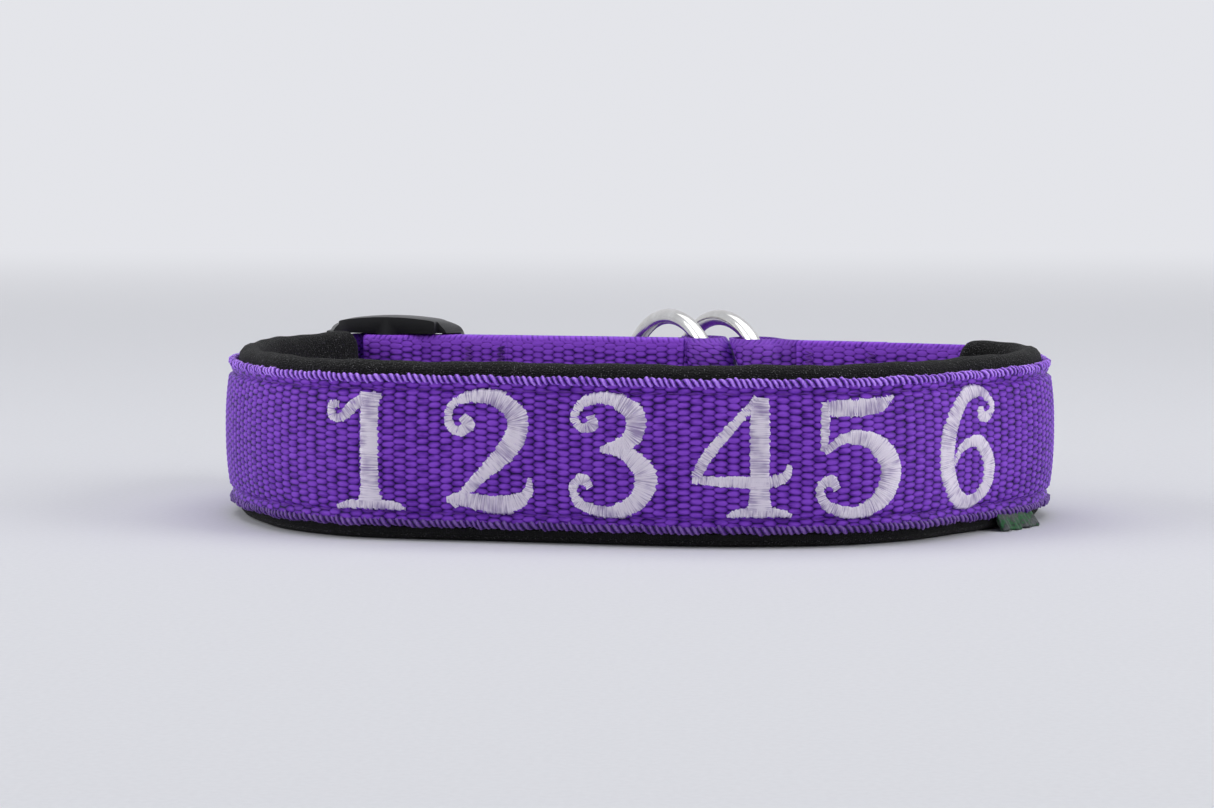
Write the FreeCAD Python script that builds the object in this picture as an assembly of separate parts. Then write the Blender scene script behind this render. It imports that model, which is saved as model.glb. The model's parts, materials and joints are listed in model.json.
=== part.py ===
import FreeCAD, Part
import math
import os

from FreeCAD import Vector

# Martingale collar: a padded webbing band that stands open on its lower edge, two bare
# straps behind it, a ring in the fold of each strap, and a slip loop through both rings
# with a D ring for the lead. Millimetres, +Z up, the supporting surface at Z = 0.

# ---- driving dimensions ----
WEB_WIDTH = 30.0            # band webbing, edge to edge
WEB_THICK = 1.5
PAD_HEIGHT = 35.6           # padding, which shows above and below the webbing
PAD_THICK = 5.2
PAD_CORNER = 2.0            # rounding of the padding's edges; leaves a narrow flat to stand on
COVER_WALL = 0.7            # knit cover round the foam
PAD_BELOW_WEB = 3.0         # how far the padding reaches below the webbing
STRAP_LIFT = 1.5            # the bare straps ride this much higher than the band
SEW_GAP = 0.05              # between layers that are sewn face to face
PLY_GAP = 0.1               # between layers that slide on each other

RING_OUTSIDE = 40.0         # the two slip rings
RING_WIRE = 3.5
RING_FLOOR_GAP = 0.2
RING_LEAN = 123.0           # plan direction from a strap's end to its ring's far side

LOOP_WIDTH = 20.0           # slip loop webbing
LOOP_THICK = 1.4
LOOP_REACH = 34.0           # from the rings' far sides out to the D ring's bar
LOOP_TILT = 9.0             # the loop droops outwards by this angle
LOOP_LAP = 22.0             # sewn overlap where the loop's ends meet
LOOP_LAP_AT = 4.0           # where that overlap starts, past the left ring's side

D_WIRE = 3.5                # D ring for the lead
D_INSIDE = 21.0             # clear length along its bar
D_CORNER = 2.5
D_SIDE = 1.0

SLIDER_LENGTH = 33.0        # along the strap
SLIDER_HEIGHT = 38.0
SLIDER_BAR = 5.0            # every bar's width along the strap
SLIDER_PLATE = 3.0          # side bars' thickness
SLIDER_CORE = 2.4           # middle bar's thickness
SLIDER_CORNER = 6.5
SLIDE_GAP = 0.3             # running clearance round the strap

RIGHT_LAP = 20.0            # sewn overlap of the right strap's folded end
TAIL_SEWN = 28.0            # from the slider's middle bar to the end of the sewn tail
FOLD_HEIGHT = 14.0          # waist of a strap's fold round its ring
FOLD_GAP = 0.3              # ring to fold
FOLD_OPEN = 140.0           # half angle that a fold wraps
FOLD_LEG = 7.0              # from the ring's wire back to the flat strap

PAD_END_LEFT = 7.0          # padding stops this far before the left strap's turn
TURN_RADIUS = 4.0           # the strap's turn as it enters the slider
SLIDER_AT = 75.5            # middle bar, measured back from the left ring's wire
TURN_AT = 83.0              # that turn, measured the same way

STITCH_INSET = 2.8          # edge stitching, in from the webbing's edges
STITCH_WIDE = 0.9
STITCH_PROUD = 0.3
BARTACK_WIDE = 1.8
BARTACK_SHORT = 2.0         # a bar tack stops this far short of each edge
BARTACK_PROUD = 0.4
FRONT_RUN = 6               # edges of the route before the long front run
SIDE_RUN = 10               # and before the right side's run
GLYPH_COUNT = 6             # embroidered figures on the front
GLYPH_HEIGHT = 23.5
GLYPH_PROUD = 0.6
GLYPH_WIDE = 17.0
GLYPH_PITCH = 24.0
GLYPH_START = -3.5          # first figure's middle, from where the long front run starts
TAB_WIDE = 7.0              # small folded tab under the band's right edge
TAB_TALL = 4.5
TAB_THICK = 0.9
TAB_ALONG = 19.0            # its near end, from where the band's right side run starts

# ---- plan of the band's webbing, seen from above, anticlockwise ----
LEFT_RING_WIRE = (17.0, 98.2)
RIGHT_RING_WIRE = (28.5, 94.2)
LEFT_STRAP_HEADING = -11.2  # plan direction of the left strap, towards its ring
SIDE_POINTS = [(-84.5, 86.5), (-87.5, 55.0), (-70.0, 17.5), (16.5, -0.5)]
SIDE_POINTS += [(49.5, 4.5), (84.0, 41.5), (87.0, 72.0)]
RIGHT_STRAP_START = (58.5, 84.5)
PAD_END_RIGHT = 17.5        # padding runs this far past the last side point
ARC_SHARE = 0.49            # of the shorter run, for each arc's tangent length

# ---- heights ----
WEB_LOW = PAD_BELOW_WEB
STRAP_LOW = WEB_LOW + STRAP_LIFT
STRAP_MIDDLE = STRAP_LOW + WEB_WIDTH / 2
RING_RADIUS = (RING_OUTSIDE - RING_WIRE) / 2
RING_MIDDLE = RING_OUTSIDE / 2 + RING_FLOOR_GAP


def plan(x, y, z=0.0):
    return Vector(x, y, z)


def heading(degrees):
    return Vector(math.cos(math.radians(degrees)), math.sin(math.radians(degrees)), 0)


def left_of(direction):
    return Vector(-direction.y, direction.x, 0)


# ---- a route of straight runs joined by tangent arcs ----
def corners_of(points, radii):
    """Tangent points and middle of each arc, as (start, centre, end, turn, radius)."""
    arcs = []
    for before, at, after, radius in zip(points, points[1:], points[2:], radii):
        way_in = (at - before).normalize()
        way_out = (after - at).normalize()
        turn = math.atan2(way_in.cross(way_out).z, way_in.dot(way_out))
        side = math.copysign(1.0, turn)
        reach = radius * math.tan(abs(turn) / 2)
        start = at - way_in * reach
        centre = start + left_of(way_in) * side * radius
        arcs.append((start, centre, at + way_out * reach, side, radius))
    return arcs


def own_radii(points):
    """The largest arc that each corner's two runs allow."""
    radii = []
    for before, at, after in zip(points, points[1:], points[2:]):
        way_in = (at - before).normalize()
        way_out = (after - at).normalize()
        reach = ARC_SHARE * min((at - before).Length, (after - at).Length)
        radii.append(reach / math.tan(way_in.getAngle(way_out) / 2))
    return radii


def offset_edges(points, radii, offset):
    """Edges of the route moved sideways; a positive offset is to the left."""
    edges = []
    at = points[0] + left_of((points[1] - points[0]).normalize()) * offset
    for start, centre, end, side, radius in corners_of(points, radii):
        scale = (radius - side * offset) / radius
        first = centre + (start - centre) * scale
        last = centre + (end - centre) * scale
        middle = centre + ((start + end) / 2 - centre).normalize() * radius * scale
        edges.append(Part.LineSegment(at, first).toShape())
        edges.append(Part.Arc(first, middle, last).toShape())
        at = last
    end = points[-1] + left_of((points[-1] - points[-2]).normalize()) * offset
    edges.append(Part.LineSegment(at, end).toShape())
    return edges


def ribbon(points, radii, near, far, low, high):
    """A flat strip on edge along a route, between two sideways offsets and two heights."""
    one = offset_edges(points, radii, near)
    two = offset_edges(points, radii, far)
    ends = [Part.LineSegment(one[-1].Vertexes[-1].Point, two[-1].Vertexes[-1].Point).toShape()]
    ends.append(Part.LineSegment(two[0].Vertexes[0].Point, one[0].Vertexes[0].Point).toShape())
    wire = Part.Wire(Part.__sortEdges__(one + two + ends))
    face = Part.Face(wire)
    face.translate(Vector(0, 0, low))
    return face.extrude(Vector(0, 0, high - low))


def stretch(points, radii, start, length):
    """The part of a route from one distance along it to another, as new points and radii."""
    edges = offset_edges(points, radii, 0.0)
    kept = []
    walked = 0.0
    for edge in edges:
        low = max(start - walked, 0.0)
        high = min(start + length - walked, edge.Length)
        if high - low > 1e-6:
            first = edge.getParameterByLength(low)
            last = edge.getParameterByLength(high)
            kept.append((edge, first, last))
        walked += edge.Length
    return kept


def patch(pieces, near, far, low, high):
    """Strips over the kept pieces of a route, joined into one solid."""
    solids = []
    for edge, first, last in pieces:
        spots = [edge.valueAt(p) for p in (first, (first + last) / 2, last)]
        ways = [edge.tangentAt(p) for p in (first, (first + last) / 2, last)]
        one = [s + left_of(w) * near for s, w in zip(spots, ways)]
        two = [s + left_of(w) * far for s, w in zip(spots, ways)]
        if edge.Curve.TypeId == "Part::GeomCircle":
            sides = [Part.Arc(*one).toShape(), Part.Arc(*two).toShape()]
        else:
            sides = [Part.LineSegment(a[0], a[2]).toShape() for a in (one, two)]
        sides.append(Part.LineSegment(one[0], two[0]).toShape())
        sides.append(Part.LineSegment(one[2], two[2]).toShape())
        face = Part.Face(Part.Wire(Part.__sortEdges__(sides)))
        face.translate(Vector(0, 0, low))
        solids.append(face.extrude(Vector(0, 0, high - low)))
    whole = solids[0]
    for more in solids[1:]:
        whole = whole.fuse(more)
    return whole.removeSplitter()


def block(origin, along, out, u0, u1, n0, n1, z0, z1):
    """A box set square to a strap: u along it, n outwards from it."""
    corners = [(u0, n0), (u1, n0), (u1, n1), (u0, n1), (u0, n0)]
    wire = Part.makePolygon([origin + along * u + out * n for u, n in corners])
    face = Part.Face(wire)
    face.translate(Vector(0, 0, z0 - origin.z))
    return face.extrude(Vector(0, 0, z1 - z0))


# ---- routes ----
LEFT_WIRE = plan(*LEFT_RING_WIRE)
RIGHT_WIRE = plan(*RIGHT_RING_WIRE)
LEFT_ALONG = heading(LEFT_STRAP_HEADING)
LEFT_OUT = left_of(LEFT_ALONG)
STACK = WEB_THICK + PLY_GAP           # pitch of the left strap's three layers
OUTER_NEAR = STACK - WEB_THICK / 2
OUTER_FAR = OUTER_NEAR + WEB_THICK
TURN = LEFT_WIRE - LEFT_ALONG * TURN_AT + LEFT_OUT * STACK
LEFT_FLAT_END = LEFT_WIRE - LEFT_ALONG * FOLD_LEG + LEFT_OUT * STACK
SIDES = [plan(*p) for p in SIDE_POINTS]
RIGHT_START = plan(*RIGHT_STRAP_START)
LAST_RUN = (RIGHT_START - SIDES[-1]).normalize()
FIRST_RUN = (SIDES[0] - TURN).normalize()
PAD_LEFT_END = TURN + FIRST_RUN * PAD_END_LEFT
PAD_RIGHT_END = SIDES[-1] + LAST_RUN * PAD_END_RIGHT
BAND_POINTS = [PAD_LEFT_END] + SIDES + [PAD_RIGHT_END]
FULL_POINTS = [TURN] + SIDES + [RIGHT_START]
BAND_RADII = own_radii(FULL_POINTS)
RIGHT_ALONG = (RIGHT_WIRE - RIGHT_START).normalize()
RIGHT_OUT = -left_of(RIGHT_ALONG)
RIGHT_FLAT_END = RIGHT_WIRE - RIGHT_ALONG * FOLD_LEG


# ---- the padded band; outwards is to the right of its anticlockwise route ----
def main_webbing():
    half = WEB_THICK / 2
    return ribbon(BAND_POINTS, BAND_RADII, -half, half, WEB_LOW, WEB_LOW + WEB_WIDTH)


def pad_solid(shrink):
    """Padding rounded along its four edges, thinner all round by shrink."""
    middle = WEB_THICK / 2 + SEW_GAP + PAD_THICK / 2
    half = PAD_THICK / 2 - shrink
    corner = PAD_CORNER - shrink
    mitre = corner * (1 - math.cos(math.radians(45)))
    low = shrink
    high = PAD_HEIGHT - shrink
    path = Part.Wire(offset_edges(BAND_POINTS, BAND_RADII, middle))
    start = path.Edges[0].Vertexes[0].Point
    across = left_of((BAND_POINTS[1] - BAND_POINTS[0]).normalize())

    def at(n, z):
        return start + across * n + Vector(0, 0, z)

    parts = []
    for side in (1, -1):
        foot, head = (low, high) if side > 0 else (high, low)
        rise = side
        flat = half - corner
        parts.append(Part.LineSegment(at(side * half, foot + rise * corner),
                                      at(side * half, head - rise * corner)).toShape())
        parts.append(Part.Arc(at(side * half, head - rise * corner),
                              at(side * (half - mitre), head - rise * mitre),
                              at(side * flat, head)).toShape())
        parts.append(Part.LineSegment(at(side * flat, head), at(-side * flat, head)).toShape())
        parts.append(Part.Arc(at(-side * flat, head),
                              at(-side * (half - mitre), head - rise * mitre),
                              at(-side * half, head - rise * corner)).toShape())
    profile = Part.Wire(parts)
    return path.makePipeShell([profile], True, True)


def pad_cover():
    return pad_solid(0.0).cut(pad_solid(COVER_WALL))


def pad_foam():
    return pad_solid(COVER_WALL + SEW_GAP)


def edge_stitch(height):
    near = -WEB_THICK / 2
    low = height - STITCH_WIDE / 2
    return ribbon(BAND_POINTS, BAND_RADII, near, near - STITCH_PROUD, low, low + STITCH_WIDE)


def front_start():
    """Distance along the band to the start of its front run."""
    edges = offset_edges(BAND_POINTS, BAND_RADII, 0.0)
    return sum(edge.Length for edge in edges[:FRONT_RUN])


def embroidery():
    near = -WEB_THICK / 2
    low = WEB_LOW + (WEB_WIDTH - GLYPH_HEIGHT) / 2
    figures = []
    for number in range(GLYPH_COUNT):
        start = front_start() + GLYPH_START + number * GLYPH_PITCH - GLYPH_WIDE / 2
        pieces = stretch(BAND_POINTS, BAND_RADII, start, GLYPH_WIDE)
        figures.append(patch(pieces, near, near - GLYPH_PROUD, low, low + GLYPH_HEIGHT))
    return Part.makeCompound(figures)


def side_tab():
    """A folded tab sewn under the band's lower right edge."""
    edges = offset_edges(BAND_POINTS, BAND_RADII, 0.0)
    start = sum(edge.Length for edge in edges[:SIDE_RUN]) + TAB_ALONG
    pieces = stretch(BAND_POINTS, BAND_RADII, start, TAB_WIDE)
    near = -WEB_THICK / 2
    low = WEB_LOW + STITCH_INSET - STITCH_WIDE / 2 - SEW_GAP - TAB_TALL
    return patch(pieces, near, near - TAB_THICK, max(low, SEW_GAP), low + TAB_TALL)


# ---- straps ----
def fold(wire, along, out, near, far):
    """The webbing's waist round a ring's wire, open towards the strap it belongs to."""
    reach = FOLD_HEIGHT / 2
    inside = RING_RADIUS - math.sqrt((RING_RADIUS - RING_WIRE / 2) ** 2 - reach ** 2) + FOLD_GAP
    outside = inside + WEB_THICK * 0.85
    open_way = math.radians(FOLD_OPEN)
    rim = [along * math.cos(a) + out * math.sin(a) for a in (-open_way, 0.0, open_way)]
    low_end = [-along * FOLD_LEG - out * far, -along * FOLD_LEG - out * near]
    high_end = [-along * FOLD_LEG + out * near, -along * FOLD_LEG + out * far]
    edges = [Part.Arc(*[wire + r * outside for r in rim]).toShape()]
    edges.append(Part.LineSegment(wire + rim[2] * outside, wire + high_end[1]).toShape())
    edges.append(Part.LineSegment(wire + high_end[1], wire + high_end[0]).toShape())
    edges.append(Part.LineSegment(wire + high_end[0], wire + rim[2] * inside).toShape())
    edges.append(Part.Arc(*[wire + r * inside for r in rim]).toShape())
    edges.append(Part.LineSegment(wire + rim[0] * inside, wire + low_end[1]).toShape())
    edges.append(Part.LineSegment(wire + low_end[1], wire + low_end[0]).toShape())
    edges.append(Part.LineSegment(wire + low_end[0], wire + rim[0] * outside).toShape())
    face = Part.Face(Part.Wire(Part.__sortEdges__(edges)))
    face.translate(Vector(0, 0, RING_MIDDLE - reach))
    return face.extrude(Vector(0, 0, FOLD_HEIGHT))


def left_strap():
    """Outer layer: from the padding, round the turn and through the slider to the fold."""
    half = WEB_THICK / 2
    points = [PAD_LEFT_END, TURN, LEFT_FLAT_END]
    high = STRAP_LOW + WEB_WIDTH
    return ribbon(points, [TURN_RADIUS], -half, half, STRAP_LOW, high)


def left_fold():
    return fold(LEFT_WIRE, LEFT_ALONG, LEFT_OUT, OUTER_NEAR, OUTER_FAR)


def tail_strap():
    """Inner layer between the fold and the sewn tail: it shortens as the slider runs in."""
    start = -SLIDER_AT + TAIL_SEWN + PLY_GAP
    high = STRAP_LOW + WEB_WIDTH
    return block(LEFT_WIRE, LEFT_ALONG, LEFT_OUT, start, -FOLD_LEG,
                 -OUTER_FAR, -OUTER_NEAR, STRAP_LOW, high)


def right_strap():
    """Inner layer: from the padding to the right fold."""
    half = SEW_GAP / 2
    points = [PAD_RIGHT_END, RIGHT_START, RIGHT_FLAT_END]
    radii = own_radii([SIDES[-1], RIGHT_START, RIGHT_WIRE])
    high = STRAP_LOW + WEB_WIDTH
    return ribbon(points, [min(radii[0], 60.0)], half, half + WEB_THICK, STRAP_LOW, high)


def right_lap():
    """Outer layer: the right strap's end, folded back over the ring and sewn down."""
    half = SEW_GAP / 2
    return block(RIGHT_WIRE, RIGHT_ALONG, RIGHT_OUT, -FOLD_LEG - RIGHT_LAP, -FOLD_LEG,
                 half, half + WEB_THICK, STRAP_LOW, STRAP_LOW + WEB_WIDTH)


def right_fold():
    half = SEW_GAP / 2
    return fold(RIGHT_WIRE, RIGHT_ALONG, RIGHT_OUT, half, half + WEB_THICK)


def bar_tack(origin, along, out, at, face, side):
    """A raised bar of stitches across a strap, on one of its faces."""
    ends = sorted([face, face + side * BARTACK_PROUD])
    low = STRAP_LOW + BARTACK_SHORT
    high = STRAP_LOW + WEB_WIDTH - BARTACK_SHORT
    return block(origin, along, out, at - BARTACK_WIDE / 2, at + BARTACK_WIDE / 2,
                 ends[0], ends[1], low, high)


def right_bar_tacks():
    tacks = []
    for step in (0.15, 0.85):
        at = -FOLD_LEG - RIGHT_LAP * step
        face = SEW_GAP / 2 + WEB_THICK
        tacks.append(bar_tack(RIGHT_WIRE, RIGHT_ALONG, RIGHT_OUT, at, face, 1))
        tacks.append(bar_tack(RIGHT_WIRE, RIGHT_ALONG, RIGHT_OUT, at, -face, -1))
    return Part.makeCompound(tacks)


# ---- slider, with the strap's tail sewn round its middle bar ----
SLIDER_MIDDLE = LEFT_WIRE - LEFT_ALONG * SLIDER_AT
RETURN_FACE = WEB_THICK / 2            # the tail's returning layer lies on the strap's axis
CORE_TOP = -RETURN_FACE - SLIDE_GAP / 2
CORE_LOW = CORE_TOP - SLIDER_CORE
PLATE_LOW = OUTER_FAR + SLIDE_GAP


def slider():
    half = SLIDER_LENGTH / 2
    low = STRAP_MIDDLE - SLIDER_HEIGHT / 2
    high = low + SLIDER_HEIGHT
    slot_low = STRAP_LOW - SLIDE_GAP
    slot_high = STRAP_LOW + WEB_WIDTH + SLIDE_GAP
    top = PLATE_LOW + SLIDER_PLATE
    body = block(SLIDER_MIDDLE, LEFT_ALONG, LEFT_OUT, -half, half, CORE_LOW, top, low, high)
    upright = [e for e in body.Edges if abs(abs(e.tangentAt(0).dot(LEFT_OUT)) - 1) < 1e-6]
    body = body.makeFillet(SLIDER_CORNER, upright)
    under = block(SLIDER_MIDDLE, LEFT_ALONG, LEFT_OUT, -half - 1, half + 1,
                  CORE_LOW - 1, PLATE_LOW, slot_low, slot_high)
    body = body.cut(under)
    window = block(SLIDER_MIDDLE, LEFT_ALONG, LEFT_OUT, -half + SLIDER_BAR, half - SLIDER_BAR,
                   PLATE_LOW - 1, top + 1, slot_low, slot_high)
    body = body.cut(window)
    for side in (-1, 1):
        ends = sorted([side * (half - SLIDER_BAR), side * (half + 1)])
        for z0, z1 in ((low - 1, slot_low + 0.0), (slot_high, high + 1)):
            shoulder = block(SLIDER_MIDDLE, LEFT_ALONG, LEFT_OUT, ends[0], ends[1],
                             CORE_LOW - 1, -OUTER_NEAR, z0, z1)
            body = body.cut(shoulder)
    core = block(SLIDER_MIDDLE, LEFT_ALONG, LEFT_OUT, -SLIDER_BAR / 2, SLIDER_BAR / 2,
                 CORE_LOW, CORE_TOP, slot_low - 1, slot_high + 1)
    return body.fuse(core).removeSplitter()


def tail_loop():
    """The sewn tail: under the middle bar, round it, and back along the strap."""
    half_bar = SLIDER_BAR / 2 + SLIDE_GAP
    centre = (CORE_TOP + CORE_LOW) / 2
    inside = (RETURN_FACE * -1 - CORE_LOW + SLIDE_GAP / 2) / 2
    outside = inside + WEB_THICK
    slope_end = half_bar + 5.0

    def at(u, n):
        return SLIDER_MIDDLE + LEFT_ALONG * u + LEFT_OUT * n

    top = centre + outside
    outline = [at(-half_bar, top), at(TAIL_SEWN, top), at(TAIL_SEWN, -OUTER_FAR)]
    outline += [at(slope_end, -OUTER_FAR), at(half_bar, centre - outside)]
    outline += [at(-half_bar, centre - outside)]
    edges = [Part.LineSegment(a, b).toShape() for a, b in zip(outline, outline[1:])]
    edges.append(Part.Arc(outline[-1], at(-half_bar - outside, centre), outline[0]).toShape())
    face = Part.Face(Part.Wire(Part.__sortEdges__(edges)))
    hollow = [at(-half_bar, centre + inside), at(half_bar, centre + inside)]
    hollow += [at(slope_end, centre + inside), at(half_bar, centre - inside)]
    hollow += [at(-half_bar, centre - inside)]
    rims = [Part.LineSegment(a, b).toShape() for a, b in zip(hollow, hollow[1:])]
    rims.append(Part.Arc(hollow[-1], at(-half_bar - inside, centre), hollow[0]).toShape())
    gap = Part.Face(Part.Wire(Part.__sortEdges__(rims)))
    face = face.cut(gap).Faces[0]
    face.translate(Vector(0, 0, STRAP_LOW))
    return face.extrude(Vector(0, 0, WEB_WIDTH))


def tail_bar_tack(share):
    at = TAIL_SEWN * share
    return bar_tack(SLIDER_MIDDLE, LEFT_ALONG, LEFT_OUT, at, -OUTER_FAR, -1)


# ---- rings ----
RING_WAY = heading(RING_LEAN)


def slip_ring(wire):
    centre = wire + RING_WAY * RING_RADIUS + Vector(0, 0, RING_MIDDLE)
    return Part.makeTorus(RING_RADIUS, RING_WIRE / 2, centre, left_of(RING_WAY))


# ---- slip loop and D ring, drawn level and then tilted down outwards ----
LEFT_FAR = LEFT_WIRE + RING_WAY * RING_RADIUS * 2
RIGHT_FAR = RIGHT_WIRE + RING_WAY * RING_RADIUS * 2
BETWEEN = (LEFT_FAR + RIGHT_FAR) / 2
LOOP_ACROSS = (RIGHT_FAR - LEFT_FAR).normalize()
LOOP_WAY = left_of(LOOP_ACROSS)
D_BAR = BETWEEN + LOOP_WAY * LOOP_REACH
EYE_GAP = 0.15
LOOP_LEAN = math.sin(math.radians(LOOP_TILT))
LOOP_EDGE = LOOP_WIDTH / 2 + RING_RADIUS / 2 * LOOP_LEAN + EYE_GAP
RING_CHORD = math.sqrt((RING_RADIUS - RING_WIRE / 2) ** 2 - LOOP_EDGE ** 2)
EYE_INSIDE = RING_RADIUS - RING_CHORD + EYE_GAP + LOOP_WIDTH / 2 * LOOP_LEAN
D_EYE_INSIDE = D_WIRE / 2 + 0.55


def tilted(shape):
    """Drooped about the line between the two rings' far sides."""
    pivot = BETWEEN + Vector(0, 0, RING_MIDDLE)
    shape.rotate(pivot, LOOP_ACROSS, -LOOP_TILT)
    return shape


def loop_outline(extra):
    """Rounded triangle round the two rings' far sides and the D ring's bar."""
    big = EYE_INSIDE + extra
    small = D_EYE_INSIDE + extra
    half_base = (RIGHT_FAR - LEFT_FAR).Length / 2
    side = math.hypot(half_base, LOOP_REACH)
    slope = math.atan2(half_base, LOOP_REACH) + math.asin((big - small) / side)
    right_way = LOOP_ACROSS * math.cos(slope) + LOOP_WAY * math.sin(slope)
    left_way = -LOOP_ACROSS * math.cos(slope) + LOOP_WAY * math.sin(slope)
    down = -LOOP_WAY
    left_mid = (left_way + down).normalize()
    right_mid = (right_way + down).normalize()
    edges = [Part.LineSegment(LEFT_FAR + down * big, RIGHT_FAR + down * big).toShape()]
    edges.append(Part.Arc(RIGHT_FAR + down * big, RIGHT_FAR + right_mid * big,
                          RIGHT_FAR + right_way * big).toShape())
    edges.append(Part.LineSegment(RIGHT_FAR + right_way * big, D_BAR + right_way * small).toShape())
    edges.append(Part.Arc(D_BAR + right_way * small, D_BAR + LOOP_WAY * small,
                          D_BAR + left_way * small).toShape())
    edges.append(Part.LineSegment(D_BAR + left_way * small, LEFT_FAR + left_way * big).toShape())
    edges.append(Part.Arc(LEFT_FAR + left_way * big, LEFT_FAR + left_mid * big,
                          LEFT_FAR + down * big).toShape())
    return Part.Wire(Part.__sortEdges__(edges)), left_way


def slip_loop():
    outer = loop_outline(LOOP_THICK)[0]
    inner = loop_outline(0.0)[0]
    face = Part.Face(outer).cut(Part.Face(inner)).Faces[0]
    face.translate(Vector(0, 0, RING_MIDDLE - LOOP_WIDTH / 2))
    return tilted(face.extrude(Vector(0, 0, LOOP_WIDTH)))


def loop_lap():
    """The loop's other end, lapped over its left side and sewn down."""
    left_way = loop_outline(0.0)[1]
    near = EYE_INSIDE + LOOP_THICK + SEW_GAP
    along = -left_of(left_way)
    origin = LEFT_FAR + left_way * near
    shape = block(origin, along, left_way, LOOP_LAP_AT, LOOP_LAP_AT + LOOP_LAP, 0.0, LOOP_THICK,
                  RING_MIDDLE - LOOP_WIDTH / 2, RING_MIDDLE + LOOP_WIDTH / 2)
    return tilted(shape)


def loop_bar_tacks():
    left_way = loop_outline(0.0)[1]
    along = -left_of(left_way)
    origin = LEFT_FAR + left_way * (EYE_INSIDE + LOOP_THICK + SEW_GAP)
    tacks = []
    for share in (0.15, 0.85):
        at = LOOP_LAP_AT + LOOP_LAP * share
        low = RING_MIDDLE - LOOP_WIDTH / 2 + BARTACK_SHORT
        high = RING_MIDDLE + LOOP_WIDTH / 2 - BARTACK_SHORT
        tacks.append(block(origin, along, left_way, at - BARTACK_WIDE / 2, at + BARTACK_WIDE / 2,
                           LOOP_THICK, LOOP_THICK + BARTACK_PROUD, low, high))
    return tilted(Part.makeCompound(tacks))


def leash_ring():
    """D ring: a straight bar, two rounded corners, short sides and a half round."""
    half = (D_INSIDE + D_WIRE) / 2
    up = Vector(0, 0, 1)
    origin = D_BAR + up * RING_MIDDLE

    def at(s, z):
        return origin + LOOP_WAY * s + up * z

    bend = D_CORNER * (1 - math.cos(math.radians(45)))
    side_end = D_CORNER + D_SIDE
    edges = [Part.LineSegment(at(0, -half + D_CORNER), at(0, half - D_CORNER)).toShape()]
    edges.append(Part.Arc(at(0, half - D_CORNER), at(bend, half - bend), at(D_CORNER, half)).toShape())
    edges.append(Part.LineSegment(at(D_CORNER, half), at(side_end, half)).toShape())
    edges.append(Part.Arc(at(side_end, half), at(side_end + half, 0), at(side_end, -half)).toShape())
    edges.append(Part.LineSegment(at(side_end, -half), at(D_CORNER, -half)).toShape())
    edges.append(Part.Arc(at(D_CORNER, -half), at(bend, -half + bend), at(0, -half + D_CORNER)).toShape())
    path = Part.Wire(edges)
    circle = Part.Circle(at(0, -half + D_CORNER), up, D_WIRE / 2)
    profile = Part.Wire([circle.toShape()])
    return tilted(path.makePipeShell([profile], True, True))


# ---- build, move to the middle of the outline, write ----
def all_parts():
    top_row = WEB_LOW + WEB_WIDTH - STITCH_INSET
    made = {
        "main_webbing": main_webbing(),
        "pad_cover": pad_cover(),
        "pad_foam": pad_foam(),
        "top_edge_stitch": edge_stitch(top_row),
        "bottom_edge_stitch": edge_stitch(WEB_LOW + STITCH_INSET),
        "embroidery": embroidery(),
        "side_tab": side_tab(),
        "left_strap": left_strap(),
        "left_fold": left_fold(),
        "tail_strap": tail_strap(),
        "right_strap": right_strap(),
        "right_lap": right_lap(),
        "right_fold": right_fold(),
        "right_bar_tacks": right_bar_tacks(),
        "slider": slider(),
        "tail_loop": tail_loop(),
        "tail_bar_tack_near": tail_bar_tack(0.68),
        "tail_bar_tack_far": tail_bar_tack(0.95),
        "left_ring": slip_ring(LEFT_WIRE),
        "right_ring": slip_ring(RIGHT_WIRE),
        "slip_loop": slip_loop(),
        "loop_lap": loop_lap(),
        "loop_bar_tacks": loop_bar_tacks(),
        "leash_ring": leash_ring(),
    }
    return made


def show(name, value):
    print(name, " ".join("%.4f" % v for v in value))


parts = all_parts()
box = FreeCAD.BoundBox()
for part in parts.values():
    box.add(part.optimalBoundingBox())
MOVE = Vector(-box.Center.x, -box.Center.y, 0)
os.makedirs("parts", exist_ok=True)
for name, part in parts.items():
    part.translate(MOVE)
    part.exportStep("parts/%s.step" % name)
    sizes = part.optimalBoundingBox()
    print("%-20s solids %d valid %s volume %.1f z %.2f..%.2f"
          % (name, len(part.Solids), part.isValid(), part.Volume, sizes.ZMin, sizes.ZMax))

show("box", (box.XLength, box.YLength, box.ZMin, box.ZMax))
show("move", MOVE)
show("left_wire", LEFT_WIRE + MOVE)
show("right_wire", RIGHT_WIRE + MOVE)
show("left_far", LEFT_FAR + MOVE)
show("right_far", RIGHT_FAR + MOVE)
bar_place = Part.Vertex(D_BAR + Vector(0, 0, RING_MIDDLE))
show("d_bar", tilted(bar_place).Point + MOVE)
show("left_along", LEFT_ALONG)
show("loop_way", LOOP_WAY)
show("loop_across", LOOP_ACROSS)
show("slider_middle", SLIDER_MIDDLE + MOVE)
show("band_radii", BAND_RADII)
show("eye_inside", (EYE_INSIDE, D_EYE_INSIDE))
show("band_length", (Part.Wire(offset_edges(BAND_POINTS, BAND_RADII, 0.0)).Length,))
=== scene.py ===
# %% [markdown]
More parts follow.
